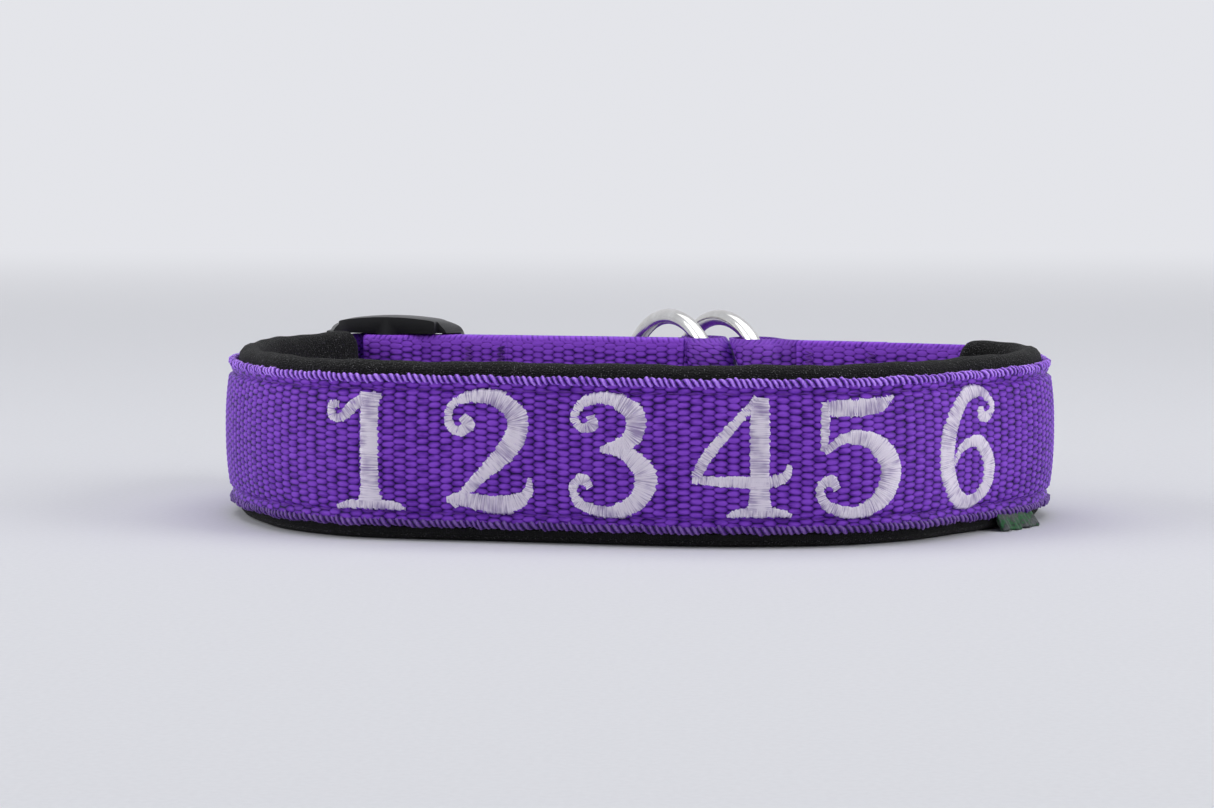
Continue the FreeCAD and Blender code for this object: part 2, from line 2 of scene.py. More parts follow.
# # A martingale collar, piece by piece
# The collar is a padded webbing band that stands open on its lower edge. Two bare straps close it
# at the back, each folded round a steel ring, and a slip loop runs through both rings with a D ring
# for the lead. The engineering model is loaded first and never moved: it says where every piece is,
# and each visual piece below is built straight into that place and then rides on its body, apart
# from the two folds round the rings, which stay where they are built.

# %% Load the engineering model
import bpy
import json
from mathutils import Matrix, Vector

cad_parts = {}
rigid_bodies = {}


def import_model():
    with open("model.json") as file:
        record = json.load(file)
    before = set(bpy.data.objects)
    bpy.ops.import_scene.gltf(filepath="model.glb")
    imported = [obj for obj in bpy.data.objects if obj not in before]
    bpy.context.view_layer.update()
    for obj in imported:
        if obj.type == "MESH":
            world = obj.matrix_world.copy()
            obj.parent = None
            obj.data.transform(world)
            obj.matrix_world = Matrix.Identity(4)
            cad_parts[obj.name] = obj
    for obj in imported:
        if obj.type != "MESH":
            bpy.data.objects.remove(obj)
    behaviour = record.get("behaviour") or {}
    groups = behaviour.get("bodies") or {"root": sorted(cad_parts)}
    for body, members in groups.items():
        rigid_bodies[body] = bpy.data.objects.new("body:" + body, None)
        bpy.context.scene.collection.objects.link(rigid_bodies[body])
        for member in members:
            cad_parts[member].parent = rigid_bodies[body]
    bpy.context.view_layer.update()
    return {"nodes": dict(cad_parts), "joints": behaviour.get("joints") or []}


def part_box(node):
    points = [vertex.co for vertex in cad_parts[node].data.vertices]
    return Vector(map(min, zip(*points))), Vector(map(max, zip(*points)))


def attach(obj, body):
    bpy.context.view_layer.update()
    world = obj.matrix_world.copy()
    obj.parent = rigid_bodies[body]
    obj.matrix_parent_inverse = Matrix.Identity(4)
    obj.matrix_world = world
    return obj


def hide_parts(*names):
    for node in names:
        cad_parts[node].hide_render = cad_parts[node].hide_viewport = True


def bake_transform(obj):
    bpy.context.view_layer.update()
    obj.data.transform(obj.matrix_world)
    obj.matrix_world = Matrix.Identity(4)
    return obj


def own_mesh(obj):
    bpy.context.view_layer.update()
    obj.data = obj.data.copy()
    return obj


for leftover in list(bpy.data.objects):
    bpy.data.objects.remove(leftover)
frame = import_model()

import json
import math

import numpy as np
from mathutils import Matrix, Vector

MM = 0.001

# %% [markdown]
# ## Sizes shared by the pieces
# Heights are read back from the engineering nodes, and thicknesses and places along the straps
# repeat the engineering model's, so the visual pieces keep to it. The route of the band is seven
# corners with one rounded arc at each, the way a strap bends when it stands on its edge.

# %% Heights and thicknesses, in millimetres
web_low, web_high = [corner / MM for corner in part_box("main_webbing")]
pad_low, pad_high = [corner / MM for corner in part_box("pad_cover")]
strap_low, strap_high = [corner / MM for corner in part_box("left_strap")]
WEB_WIDTH = web_high.z - web_low.z
WEB_THICK = 1.5
STACK = 1.6                   # pitch of the left strap's three layers
RIGHT_PLY = 0.78              # half the pitch of the right strap's two layers
PAD_THICK = 5.2
RISE = strap_low.z - web_low.z
RING_WIRE = 3.5
RING_RADIUS = 18.25
RING_MIDDLE = sum(corner.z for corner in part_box("left_ring")) / 2 / MM
STITCH_INSET = 2.8            # edge stitching, in from the webbing's edges
FOLD_LEG = 7.0                # from a ring's wire back to the flat strap
RIGHT_LAP = 20.0              # sewn overlap of the right strap's folded end
SLIDER_AT = 75.5              # the slider's middle, back from the left ring's wire
TURN_AT = 83.0                # the left strap's turn, measured the same way
TAIL_SEWN = 28.0              # from the slider's middle to the end of the sewn tail
SLIDE_GAP = 0.3               # running clearance round the strap
LOOP_WIDTH = 20.0             # the slip loop's webbing
LOOP_THICK = 1.4
PAD_PAST_TURN = 7.0           # the band starts this far past the left strap's turn
PAD_PAST_SIDE = 17.5          # and ends this far past its last corner
print("webbing width", round(WEB_WIDTH, 2), "ring middle", round(RING_MIDDLE, 2))


# %% Plan directions and places of the two strap ends
def heading(degrees):
    return np.array([math.cos(math.radians(degrees)), math.sin(math.radians(degrees))])


def left_of(way):
    """A quarter turn to the left, of one direction or of a row of them."""
    return np.stack([-way[..., 1], way[..., 0]], -1)


def unit(way):
    return way / np.linalg.norm(way)


def ways(line):
    """The direction of a line at each of its places."""
    way = np.gradient(line, axis=0)
    return way / np.linalg.norm(way, axis=1)[:, None]


def run_along(line):
    """The distance of each place from the first, along the line."""
    return np.concatenate([[0.0], np.cumsum(np.linalg.norm(np.diff(line, axis=0), axis=1))])


def joint(name):
    return next(j for j in frame["joints"] if j["name"] == name)


def joint_place(name):
    return np.array(joint(name)["pos_m"][:2]) / MM


LEFT_WIRE = joint_place("left_ring_swing")
RIGHT_WIRE = joint_place("right_ring_swing")
LEFT_ALONG = heading(-11.2)
LEFT_OUT = left_of(LEFT_ALONG)
RING_HEADING = 123.0
RING_WAY = heading(RING_HEADING)
TURN = LEFT_WIRE - LEFT_ALONG * TURN_AT + LEFT_OUT * STACK
MOVE = LEFT_WIRE - np.array([17.0, 98.2])
SIDES = [MOVE + p for p in ((-84.5, 86.5), (-87.5, 55.0), (-70.0, 17.5), (16.5, -0.5),
                            (49.5, 4.5), (84.0, 41.5), (87.0, 72.0))]
RIGHT_START = MOVE + (58.5, 84.5)
PAD_LEFT_END = TURN + unit(SIDES[0] - TURN) * PAD_PAST_TURN
PAD_RIGHT_END = SIDES[-1] + unit(RIGHT_START - SIDES[-1]) * PAD_PAST_SIDE
RIGHT_ALONG = unit(RIGHT_WIRE - RIGHT_START)
RIGHT_OUT = -left_of(RIGHT_ALONG)
print("left ring's wire", LEFT_WIRE.round(2), "right", RIGHT_WIRE.round(2))


# %% A route of straight runs joined by arcs
def own_radii(corners):
    """The largest arc that each corner's two runs allow."""
    radii = []
    for before, at, after in zip(corners, corners[1:], corners[2:]):
        a, b = unit(at - before), unit(after - at)
        turn = math.acos(np.clip(a @ b, -1, 1))
        reach = 0.49 * min(np.linalg.norm(at - before), np.linalg.norm(after - at))
        radii.append(reach / math.tan(turn / 2))
    return radii


def trace(corners, radii, step=0.1):
    """Distances, places and headings along a route, close enough together to read between."""
    places = [np.array(corners[0], float)]
    away = unit(np.array(corners[1]) - np.array(corners[0]))
    angles = [math.atan2(away[1], away[0])]
    for before, at, after, radius in zip(corners, corners[1:], corners[2:], radii):
        a, b = unit(at - before), unit(after - at)
        turn = math.atan2(a[0] * b[1] - a[1] * b[0], a @ b)
        reach = radius * math.tan(abs(turn) / 2)
        side = math.copysign(1.0, turn)
        start = at - a * reach
        centre = start + left_of(a) * side * radius
        first = math.atan2(a[1], a[0])
        count = max(4, int(abs(turn) * radius / step))
        for share in np.linspace(0, 1, count):
            angle = first + turn * share
            places.append(centre - left_of(np.array([math.cos(angle), math.sin(angle)])) * side * radius)
            angles.append(angle)
    places.append(np.array(corners[-1], float))
    last = unit(np.array(corners[-1]) - np.array(corners[-2]))
    angles.append(math.atan2(last[1], last[0]))
    places = np.array(places)
    angles = np.unwrap(np.array(angles))
    return run_along(places), places, angles


def walk(route, distance):
    """Places and left-hand directions at distances along a route."""
    along, places, angles = route
    distance = np.asarray(distance, float)
    x = np.interp(distance, along, places[:, 0])
    y = np.interp(distance, along, places[:, 1])
    angle = np.interp(distance, along, angles)
    before = np.minimum(distance - along[0], 0.0) + np.maximum(distance - along[-1], 0.0)
    x = x + np.cos(angle) * before
    y = y + np.sin(angle) * before
    return np.stack([x, y], -1), np.stack([-np.sin(angle), np.cos(angle)], -1)


FULL_RADII = own_radii([TURN] + SIDES + [RIGHT_START])
BAND = trace([PAD_LEFT_END] + SIDES + [PAD_RIGHT_END], FULL_RADII)
BAND_LENGTH = BAND[0][-1]
print("band length, mm:", round(BAND_LENGTH, 1))

# %% [markdown]
# ## From a flat grid to a swept piece
# Webbing, thread and padding are all long sections that follow a route. A grid is added flat, its
# points are moved in code to their places, the grid's two long edges are merged into a tube and the
# open ends are filled. A curve with a bevel could do it too, but it can't carry a weave in its
# surface, and the grid keeps a map in real millimetres that the cloth materials read.


# %% The sweep that most pieces use
def only(piece):
    """Makes piece the one selected and active object."""
    if bpy.context.mode != "OBJECT":
        bpy.ops.object.mode_set(mode="OBJECT")
    bpy.ops.object.select_all(action="DESELECT")
    piece.select_set(True)
    bpy.context.view_layer.objects.active = piece


def smooth(piece):
    faces = piece.data.polygons
    faces.foreach_set("use_smooth", np.ones(len(faces), bool))


def tidy_shell(piece, merge=1e-7):
    """Merges doubles, fills open ends and turns every face outwards."""
    only(piece)
    bpy.ops.object.mode_set(mode="EDIT")
    bpy.ops.mesh.select_all(action="SELECT")
    bpy.ops.mesh.remove_doubles(threshold=merge)
    bpy.ops.mesh.select_all(action="SELECT")
    bpy.ops.mesh.fill_holes(sides=0)
    bpy.ops.mesh.select_all(action="SELECT")
    bpy.ops.mesh.normals_make_consistent(inside=False)
    bpy.ops.object.mode_set(mode="OBJECT")


def swept(name, rows, u, v):
    """A closed piece from rows[station, point]; u runs along it and v round it, in millimetres."""
    stations, points = rows.shape[:2]
    bpy.ops.object.select_all(action="DESELECT")
    bpy.ops.mesh.primitive_grid_add(x_subdivisions=stations - 1, y_subdivisions=points, size=1.0)
    piece = bpy.context.object
    piece.name = name
    mesh = piece.data
    mesh.name = name
    flat = np.empty(len(mesh.vertices) * 3)
    mesh.vertices.foreach_get("co", flat)
    flat = flat.reshape(-1, 3)
    i = np.rint((flat[:, 0] + 0.5) * (stations - 1)).astype(int)
    j = np.rint((flat[:, 1] + 0.5) * points).astype(int)
    mesh.vertices.foreach_set("co", (rows[i, j % points] * MM).ravel())
    corner = np.empty(len(mesh.loops), int)
    mesh.loops.foreach_get("vertex_index", corner)
    v = np.append(v, v[0])
    u = np.broadcast_to(np.reshape(u, (stations, -1)), (stations, points))
    uv = np.stack([u[i[corner], j[corner] % points], v[j[corner]]], -1) * MM
    mesh.uv_layers[0].data.foreach_set("uv", uv.ravel())
    smooth(piece)
    tidy_shell(piece)
    return piece


def joined(name, pieces):
    """Several meshes made one piece."""
    only(pieces[0])
    for more in pieces[1:]:
        more.select_set(True)
    if len(pieces) > 1:
        bpy.ops.object.join()
    whole = bpy.context.object
    whole.name = name
    whole.data.name = name
    return whole


def place(piece, body, material, slot, *nodes):
    """Gives a finished piece its material, hides the engineering nodes that it stands for and puts it on
    its body, if it has one. The slot is not used.
    """
    piece.data.materials.clear()
    piece.data.materials.append(material)
    if nodes:
        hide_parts(*nodes)
    if body:
        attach(piece, body)
    faces = sum(len(p.vertices) - 2 for p in piece.data.polygons)
    print(f"{piece.name}: {faces} triangles")
    return piece


# %% [markdown]
# ## Materials
# Each finish is made of nodes. The cloths read their own map, which is in millimetres along and
# across the webbing, so the weave bends with the strap. Small values stay on the shader itself.


# %% Node helpers
def new_finish(name, **values):
    """A new material's nodes, with plain values on its shader's own sockets."""
    material = bpy.data.materials.new(name)
    material.use_nodes = True
    make = Nodes(material)
    make.shader = material.node_tree.nodes["Principled BSDF"]
    for socket, value in values.items():
        make.shader.inputs[socket.replace("_", " ")].default_value = value
    return make


class Nodes:
    """Short ways to add the few kinds of node that the finishes use."""

    def __init__(self, owner):
        self.owner = owner
        self.tree = owner.node_tree

    def add(self, kind, **settings):
        node = self.tree.nodes.new(kind)
        for key, value in settings.items():
            setattr(node, key, value)
        return node

    def feed(self, value, socket):
        if isinstance(value, (int, float, tuple)):
            socket.default_value = value
        else:
            self.tree.links.new(value, socket)

    def maths(self, operation, a, b=0.0, c=0.0):
        node = self.add("ShaderNodeMath", operation=operation)
        for value, socket in zip((a, b, c), node.inputs):
            self.feed(value, socket)
        return node.outputs[0]

    def step(self, value, low, high):
        """0 below low, 1 above high, smooth between."""
        node = self.add("ShaderNodeMapRange", interpolation_type="SMOOTHSTEP")
        for setting, socket in zip((value, low, high), node.inputs):
            self.feed(setting, socket)
        return node.outputs[0]

    def ramp(self, value, *stops):
        node = self.add("ShaderNodeValToRGB")
        marks = node.color_ramp.elements
        while len(marks) < len(stops):
            marks.new(0.5)
        for mark, (position, colour) in zip(marks, stops):
            mark.position = position
            mark.color = (*colour, 1.0)
        self.feed(value, node.inputs[0])
        return node.outputs[0]

    def noise(self, where, scale, detail=2.0, roughness=0.5):
        node = self.add("ShaderNodeTexNoise")
        self.feed(where, node.inputs["Vector"])
        node.inputs["Scale"].default_value = scale
        node.inputs["Detail"].default_value = detail
        node.inputs["Roughness"].default_value = roughness
        return node.outputs["Fac"]

    def stretched(self, where, *scale):
        node = self.add("ShaderNodeMapping")
        self.feed(where, node.inputs["Vector"])
        node.inputs["Scale"].default_value = scale
        return node.outputs[0]

    def place(self, kind):
        return self.add("ShaderNodeTexCoord").outputs[kind]

    def parts(self, kind):
        """The three numbers of a place."""
        node = self.add("ShaderNodeSeparateXYZ")
        self.feed(self.place(kind), node.inputs[0])
        return node.outputs

    def colour(self, value):
        self.feed(value, self.shader.inputs["Base Color"])

    def roughness(self, value):
        self.feed(value, self.shader.inputs["Roughness"])

    def bump(self, height, depth, strength=1.0):
        """Relief on the finish, with its depth in millimetres."""
        node = self.add("ShaderNodeBump")
        node.inputs["Strength"].default_value = strength
        node.inputs["Distance"].default_value = depth * MM
        self.feed(height, node.inputs["Height"])
        self.feed(node.outputs[0], self.shader.inputs["Normal"])


# %% [markdown]
# ### Webbing
# The band is a warp-faced weave: short bundles of filament lie along the webbing and float over
# the hidden cross threads, each column half a bundle out of step with the next. Two rows of ovals
# on a repeat give it, one for the even columns and one for the odd ones. The same sizes shape the
# band's real relief later, so colour, bump and surface agree. The colour is painted shade in the
# slits between the bundles and painted highlight on their crowns.

# %% The weave's repeat, in millimetres
BUNDLE_PITCH = 2.37           # from one column to the next
BUNDLE_RISE = 1.30            # from one bundle to the next in a column
BUNDLE_REACH = 1.46           # half a bundle's length
BUNDLE_HALF = 0.70            # half its height
BUNDLE_ENDS = 2.6             # blunter ends than an ellipse, which would be 2
DRIFTS = ((0.13, 0.30), (0.41, 0.10))    # the rows wander slowly: turn per millimetre, reach


def weave_height(u, v):
    """Height of the bundles, 0 in the slits and 1 on their crowns."""
    for turn, reach in DRIFTS:
        v = v + reach * np.sin(u * turn)
    best = np.zeros(np.broadcast(u, v).shape)
    for column in (0, 1):
        dx = np.mod(u + column * BUNDLE_PITCH, 2 * BUNDLE_PITCH) - BUNDLE_PITCH
        dy = np.mod(v + column * BUNDLE_RISE / 2, BUNDLE_RISE) - BUNDLE_RISE / 2
        oval = 1 - np.abs(dx / BUNDLE_REACH) ** BUNDLE_ENDS - (dy / BUNDLE_HALF) ** 2
        best = np.maximum(best, oval)
    return np.sqrt(best)


def repeat_nodes(make, where, shift, pitch, half, power):
    """A distance from the middle of a repeat, as a share of a bundle's half size to a power."""
    where = make.maths("FLOORED_MODULO", make.maths("ADD", where, shift), pitch)
    where = make.maths("SUBTRACT", where, pitch / 2)
    return make.maths("POWER", make.maths("ABSOLUTE", make.maths("DIVIDE", where, half)), power)


def weave_nodes(make, u, v):
    """The same height, made of nodes from u and v in millimetres."""
    for turn, reach in DRIFTS:
        v = make.maths("MULTIPLY_ADD", make.maths("SINE", make.maths("MULTIPLY", u, turn)), reach, v)
    crowns = []
    for column in (0, 1):
        dx = repeat_nodes(make, u, column * BUNDLE_PITCH, 2 * BUNDLE_PITCH, BUNDLE_REACH, BUNDLE_ENDS)
        dy = repeat_nodes(make, v, column * BUNDLE_RISE / 2, BUNDLE_RISE, BUNDLE_HALF, 2.0)
        crowns.append(make.maths("SUBTRACT", 1.0, make.maths("ADD", dx, dy)))
    best = make.maths("MAXIMUM", make.maths("MAXIMUM", crowns[0], crowns[1]), 0.0)
    return make.maths("SQRT", best)


# %% Webbing finish
# Ramp tones: painted shade for the slits, the plain purple, painted highlight for the crowns
PURPLE_SHADE = (0.008, 0.001, 0.040)
PURPLE = (0.122, 0.022, 0.385)
PURPLE_HIGHLIGHT = (0.270, 0.072, 0.680)
EDGE_PITCH = 1.25             # slanted bumps on the plain webbing's woven edges
EDGE_SLANT = 2.2
EDGE_WIDE = (0.9, 1.3)        # where those edges end, in from the side
CREST_WIDE = (1.6, 4.0)       # a lighter zone beside them, where light catches the bend


# Scales the tones by a painted light gain: above 1 a lit copy, below 1 a shaded copy
def toned(painted_light_gain, *tones):
    return [tuple(painted_light_gain * channel for channel in tone) for tone in tones]


def webbing_finish(name, width, relief, painted_light_gain=1.0, crest_highlight=0.0):
    """Filament webbing of a width, with the slanted bumps of its woven edges. Its colour is painted shade
    in the slits and painted highlight on the crowns and edge bumps; the crest term paints a highlight band
    near each edge, and the gain scales every tone lighter for a lit copy and darker for a shaded one.
    """
    make = new_finish(name, Specular_IOR_Level=0.26, Specular_Tint=(0.70, 0.50, 1.0, 1.0))
    shade_tone, plain, light = toned(painted_light_gain, PURPLE_SHADE, PURPLE, PURPLE_HIGHLIGHT)
    u, v = [make.maths("MULTIPLY", part, 1 / MM) for part in make.parts("UV")[:2]]
    weave = weave_nodes(make, u, v)
    from_edge = make.maths("SUBTRACT", width / 2, make.maths("ABSOLUTE", v))
    slant = make.maths("MULTIPLY", v, EDGE_SLANT)
    twist = make.maths("ADD", make.maths("MULTIPLY", u, 2 * math.pi / EDGE_PITCH), slant)
    rope = make.maths("MULTIPLY_ADD", make.maths("SINE", twist), 0.5, 0.5)
    inside = make.step(from_edge, *EDGE_WIDE)
    edge = make.maths("MULTIPLY_ADD", rope, 0.6, 0.4)
    height = make.maths("ADD", make.maths("MULTIPLY", weave, inside),
                        make.maths("MULTIPLY", edge, make.maths("SUBTRACT", 1.0, inside)))
    strands = make.noise(make.stretched(make.place("UV"), 0.09, 1.0, 1.0), 9000.0, 1.0)
    patches = make.noise(make.place("Object"), 90.0, 2.0)
    bundles = make.noise(make.stretched(make.place("UV"), 0.5, 1.0, 1.0), 900.0, 0.0)
    tone = make.maths("MULTIPLY_ADD", make.maths("SUBTRACT", strands, 0.5), 0.45, height)
    tone = make.maths("MULTIPLY_ADD", make.maths("SUBTRACT", patches, 0.5), 0.35, tone)
    tone = make.maths("MULTIPLY_ADD", make.maths("SUBTRACT", bundles, 0.5), 0.7, tone)
    # Painted highlight band near each edge, where light catches the bend
    near_edge = make.maths("SUBTRACT", 1.0, make.step(from_edge, *CREST_WIDE))
    tone = make.maths("MULTIPLY_ADD", near_edge, crest_highlight, tone)
    # Painted shade and highlight: low weave height gets the dark slit tone, the crowns the light tone
    make.colour(make.ramp(tone, (0.30, shade_tone), (0.66, plain), (1.05, light)))
    make.roughness(make.maths("MULTIPLY_ADD", strands, 0.22, 0.36))
    make.bump(make.maths("MULTIPLY_ADD", strands, 0.22, height), relief, 0.9)
    return make.owner


# Painted light and shade: straps and slip loop are painted 1.2 times lighter than the band, the folds
# round the rings, which sit in shade, 0.88 times as light, and straps and folds get a painted highlight
# band near each edge
BAND_FINISH = webbing_finish("band_webbing_finish", WEB_WIDTH, 0.16)
STRAP_FINISH = webbing_finish("strap_webbing_painted_light_finish", WEB_WIDTH, 0.26, 1.2, 0.35)
FOLD_FINISH = webbing_finish("fold_webbing_painted_shade_finish", WEB_WIDTH, 0.26, 0.88, 0.35)
LOOP_FINISH = webbing_finish("loop_webbing_finish", LOOP_WIDTH, 0.26, 1.2)


# %% Selvage finish
TWIST_PITCH = 1.30            # one slanted bump of a rolled edge
TWIST_STARTS = 2              # strands that wind round the roll together
ROLL_RADIUS = 0.8             # turns the angle round a roll into millimetres on its map
# painted highlight colour for the crowns of the twists
ROLL_HIGHLIGHT = (0.44, 0.24, 0.80)


def selvage_finish(name, painted_light_gain):
    """A rolled edge of the band, in the same filament but lying across the roll. The crown of each twist
    is painted lighter as painted highlight, and the gaps between twists darker as painted shade.
    """
    make = new_finish(name, Roughness=0.36, Specular_IOR_Level=0.3, Specular_Tint=(0.75, 0.6, 1.0, 1.0))
    strands = make.noise(make.stretched(make.place("UV"), 1.0, 0.25, 1.0), 7000.0, 1.0)
    patches = make.noise(make.place("Object"), 160.0, 2.0)
    u, v = make.parts("UV")[:2]
    along = make.maths("MULTIPLY", u, 1 / MM / TWIST_PITCH)
    twist = make.maths("MULTIPLY_ADD", v, TWIST_STARTS / MM / ROLL_RADIUS / (2 * math.pi), along)
    crown = make.maths("ABSOLUTE", make.maths("SINE", make.maths("MULTIPLY", twist, math.pi)))
    tone = make.maths("MULTIPLY_ADD", strands, 0.35, make.maths("MULTIPLY", patches, 0.35))
    # Painted highlight on each twist's crown, painted shade between the twists
    tone = make.maths("MULTIPLY_ADD", crown, 0.55, tone)
    shade_tone, plain, light = toned(painted_light_gain, PURPLE_SHADE, PURPLE, ROLL_HIGHLIGHT)
    make.colour(make.ramp(tone, (0.45, shade_tone), (0.7, plain), (0.95, light)))
    make.bump(strands, 0.06)
    return make.owner


# Painted light and shade: the upper roll, facing up to the light, is painted 1.5 times lighter, and the
# lower roll, facing down into shade, 0.6 times as light
UPPER_SELVAGE_FINISH = selvage_finish("upper_selvage_painted_light_finish", 1.5)
LOWER_SELVAGE_FINISH = selvage_finish("lower_selvage_painted_shade_finish", 0.6)


# %% Thread finishes
def thread_finish(name, dark, light, across, **values):
    """Twisted thread: fine lines along the thread, which runs across or along the piece's map."""
    make = new_finish(name, **values)
    scale = (1.0, 0.05, 1.0) if across else (0.12, 1.0, 1.0)
    lines = make.noise(make.stretched(make.place("UV"), *scale), 3800.0, 2.0)
    patches = make.noise(make.place("Object"), 240.0, 2.0)
    tone = make.maths("MULTIPLY_ADD", lines, 0.6, make.maths("MULTIPLY", patches, 0.5))
    make.colour(make.ramp(tone, (0.42, dark), (0.58, light)))
    make.bump(lines, 0.16)
    return make.owner


EMBROIDERY_FINISH = thread_finish("embroidery_finish", (0.40, 0.31, 0.56), (0.93, 0.86, 0.99), True,
                                  Roughness=0.42, Sheen_Weight=0.1, Sheen_Roughness=0.4)
SEWING_FINISH = thread_finish("sewing_thread_finish", (0.04, 0.008, 0.13), (0.22, 0.06, 0.52), False,
                              Roughness=0.45, Specular_IOR_Level=0.2)


# %% Padding, plastic, steel and tab finishes
def padding_finish():
    """Black knit: rows of tiny loops, whose highest points are painted grey as painted highlight."""
    make = new_finish("padding_finish", Sheen_Weight=0.05, Sheen_Roughness=0.5, Specular_IOR_Level=0.16)
    loops = make.add("ShaderNodeTexVoronoi")
    make.feed(make.stretched(make.place("UV"), 1.0, 1.35, 1.0), loops.inputs["Vector"])
    loops.inputs["Scale"].default_value = 2100.0
    loops.inputs["Randomness"].default_value = 0.55
    nap = make.noise(make.place("Object"), 1500.0, 2.0)
    height = make.maths("SUBTRACT", make.maths("MULTIPLY_ADD", nap, 0.5, 0.8), loops.outputs["Distance"])
    # Painted highlight: the tops of the loops get a grey tone, the rest stays near black
    make.colour(make.ramp(height, (0.60, (0.0006, 0.0006, 0.0008)), (0.82, (0.007, 0.007, 0.0075)),
                          (0.96, (0.20, 0.20, 0.203))))
    make.roughness(make.maths("MULTIPLY_ADD", nap, 0.25, 0.6))
    make.bump(height, 0.5)
    return make.owner


def slider_finish():
    """Moulded plastic with the fine spark texture of its mould."""
    make = new_finish("slider_finish", Specular_IOR_Level=0.3)
    grain = make.noise(make.place("Object"), 5200.0, 3.0)
    flow = make.noise(make.place("Object"), 120.0, 2.0)
    make.colour(make.ramp(flow, (0.3, (0.0045, 0.0045, 0.0055)), (0.8, (0.008, 0.008, 0.0095))))
    make.roughness(make.maths("MULTIPLY_ADD", flow, 0.18, 0.32))
    make.bump(grain, 0.03)
    return make.owner


def steel_finish():
    """Plated steel: nearly mirror bright, with faint polishing lines and a few dull spots."""
    make = new_finish("steel_finish", Metallic=1.0)
    spots = make.noise(make.place("Object"), 260.0, 3.0)
    lines = make.noise(make.stretched(make.place("UV"), 1.0, 40.0, 1.0), 30.0, 2.0)
    make.colour(make.ramp(spots, (0.3, (0.60, 0.59, 0.57)), (0.75, (0.74, 0.73, 0.72))))
    make.roughness(make.maths("MULTIPLY_ADD", spots, 0.16, 0.07))
    make.bump(lines, 0.01, 0.3)
    return make.owner


def tab_finish():
    """Woven label cloth in grey with dark green threads."""
    make = new_finish("tab_finish", Roughness=0.7, Sheen_Weight=0.1)
    weave = make.noise(make.stretched(make.place("UV"), 1.0, 0.3, 1.0), 5200.0, 1.0)
    patches = make.noise(make.place("Object"), 520.0, 2.0)
    tone = make.maths("MULTIPLY_ADD", weave, 0.4, make.maths("MULTIPLY", patches, 0.7))
    make.colour(make.ramp(tone, (0.42, (0.004, 0.022, 0.010)), (0.5, (0.008, 0.14, 0.030)),
                          (0.56, (0.025, 0.035, 0.030)), (0.74, (0.12, 0.13, 0.135))))
    make.bump(weave, 0.1)
    return make.owner


PADDING_FINISH = padding_finish()
SLIDER_FINISH = slider_finish()
STEEL_FINISH = steel_finish()
TAB_FINISH = tab_finish()
print("finishes:", len(bpy.data.materials))

# %% [markdown]
# ## The band's webbing
# The front of the band is what everyone sees, so its bundles are real relief and not only bump.
# Between the two lines of edge stitching the webbing swells a little over the padding, and the
# stitching sinks into a groove. The section has a row of points for each fifth of a bundle, and the
# stations along it are a fifth of a column apart, so every bundle gets the same few points.

# %% Shape of the band's outer face
SWELL = 0.9                   # the webbing stands out this far over the padding
SWELL_BLUNT = 2.4             # how flat-topped that swell is
SWELL_FADE = 14               # and how far from each end it has died away
RELIEF = 0.46                 # bundles above the slits between them
GROOVE = 0.55                 # depth of the stitching's groove
GROOVE_WIDE = 0.38
CLIMB_LEFT = 16               # the last stretches, where the band climbs to the straps' height
CLIMB_RIGHT = 22


def ease(share):
    share = np.clip(share, 0, 1)
    return share * share * (3 - 2 * share)


def rise_at(s):
    """The band climbs to the height of the bare straps at its two ends."""
    return RISE * (1 - ease(s / CLIMB_LEFT) + ease((s - BAND_LENGTH + CLIMB_RIGHT) / CLIMB_RIGHT))


def outer_face(s, v):
    """How far the outer face stands out from the route, v measured from mid height."""
    edge = WEB_WIDTH / 2 - np.abs(v)
    share = np.clip((edge - STITCH_INSET) / (WEB_WIDTH / 2 - STITCH_INSET), 0, 1)
    ends = ease(s / SWELL_FADE) * ease((BAND_LENGTH - s) / SWELL_FADE)
    swell = SWELL * (1 - (1 - share) ** SWELL_BLUNT) * ends
    groove = GROOVE * np.exp(-((edge - STITCH_INSET) / GROOVE_WIDE) ** 2)
    return WEB_THICK / 2 - 0.1 + swell - groove


def on_band(s, v, out):
    """Places out from the band's route at distances s and heights v from mid height."""
    spot, left = walk(BAND, s)
    plan = spot - left * np.asarray(out)[..., None]
    z = web_low.z + WEB_WIDTH / 2 + v + rise_at(s)
    return np.concatenate([plan, np.broadcast_to(z, plan.shape[:-1])[..., None]], -1)


# %% Make the band's webbing
inner_rows = np.arange(-46, 47) * BUNDLE_RISE / 5
edge_rows = np.linspace(12.2, 14.4, 7)
front_v = np.concatenate([-edge_rows[::-1], inner_rows, edge_rows])
back_v = np.linspace(14.2, -14.2, 10)
section_v = np.concatenate([front_v, back_v])
stations = np.arange(0, BAND_LENGTH, BUNDLE_PITCH / 5)
stations = np.append(stations, BAND_LENGTH)
s_grid, v_grid = np.meshgrid(stations, section_v, indexing="ij")
is_front = np.arange(len(section_v)) < len(front_v)
relief = RELIEF * weave_height(s_grid, v_grid) * ease((WEB_WIDTH / 2 - np.abs(v_grid) - 3.0) / 0.6)
out = np.where(is_front, outer_face(s_grid, v_grid) + relief, -WEB_THICK / 2)
band_webbing = swept("band_webbing", on_band(s_grid, v_grid, out), stations, section_v)
place(band_webbing, "band", BAND_FINISH, "webbing", "main_webbing")


# %% [markdown]
# ### Selvages
# The weft turns back round the outermost warp at each edge, which leaves a firm little roll with
# slanted bumps, like a twisted cord. Each is its own sweep with stations close enough together to
# show the twist, and it leans outwards because the stitching pulls the webbing in beside it.

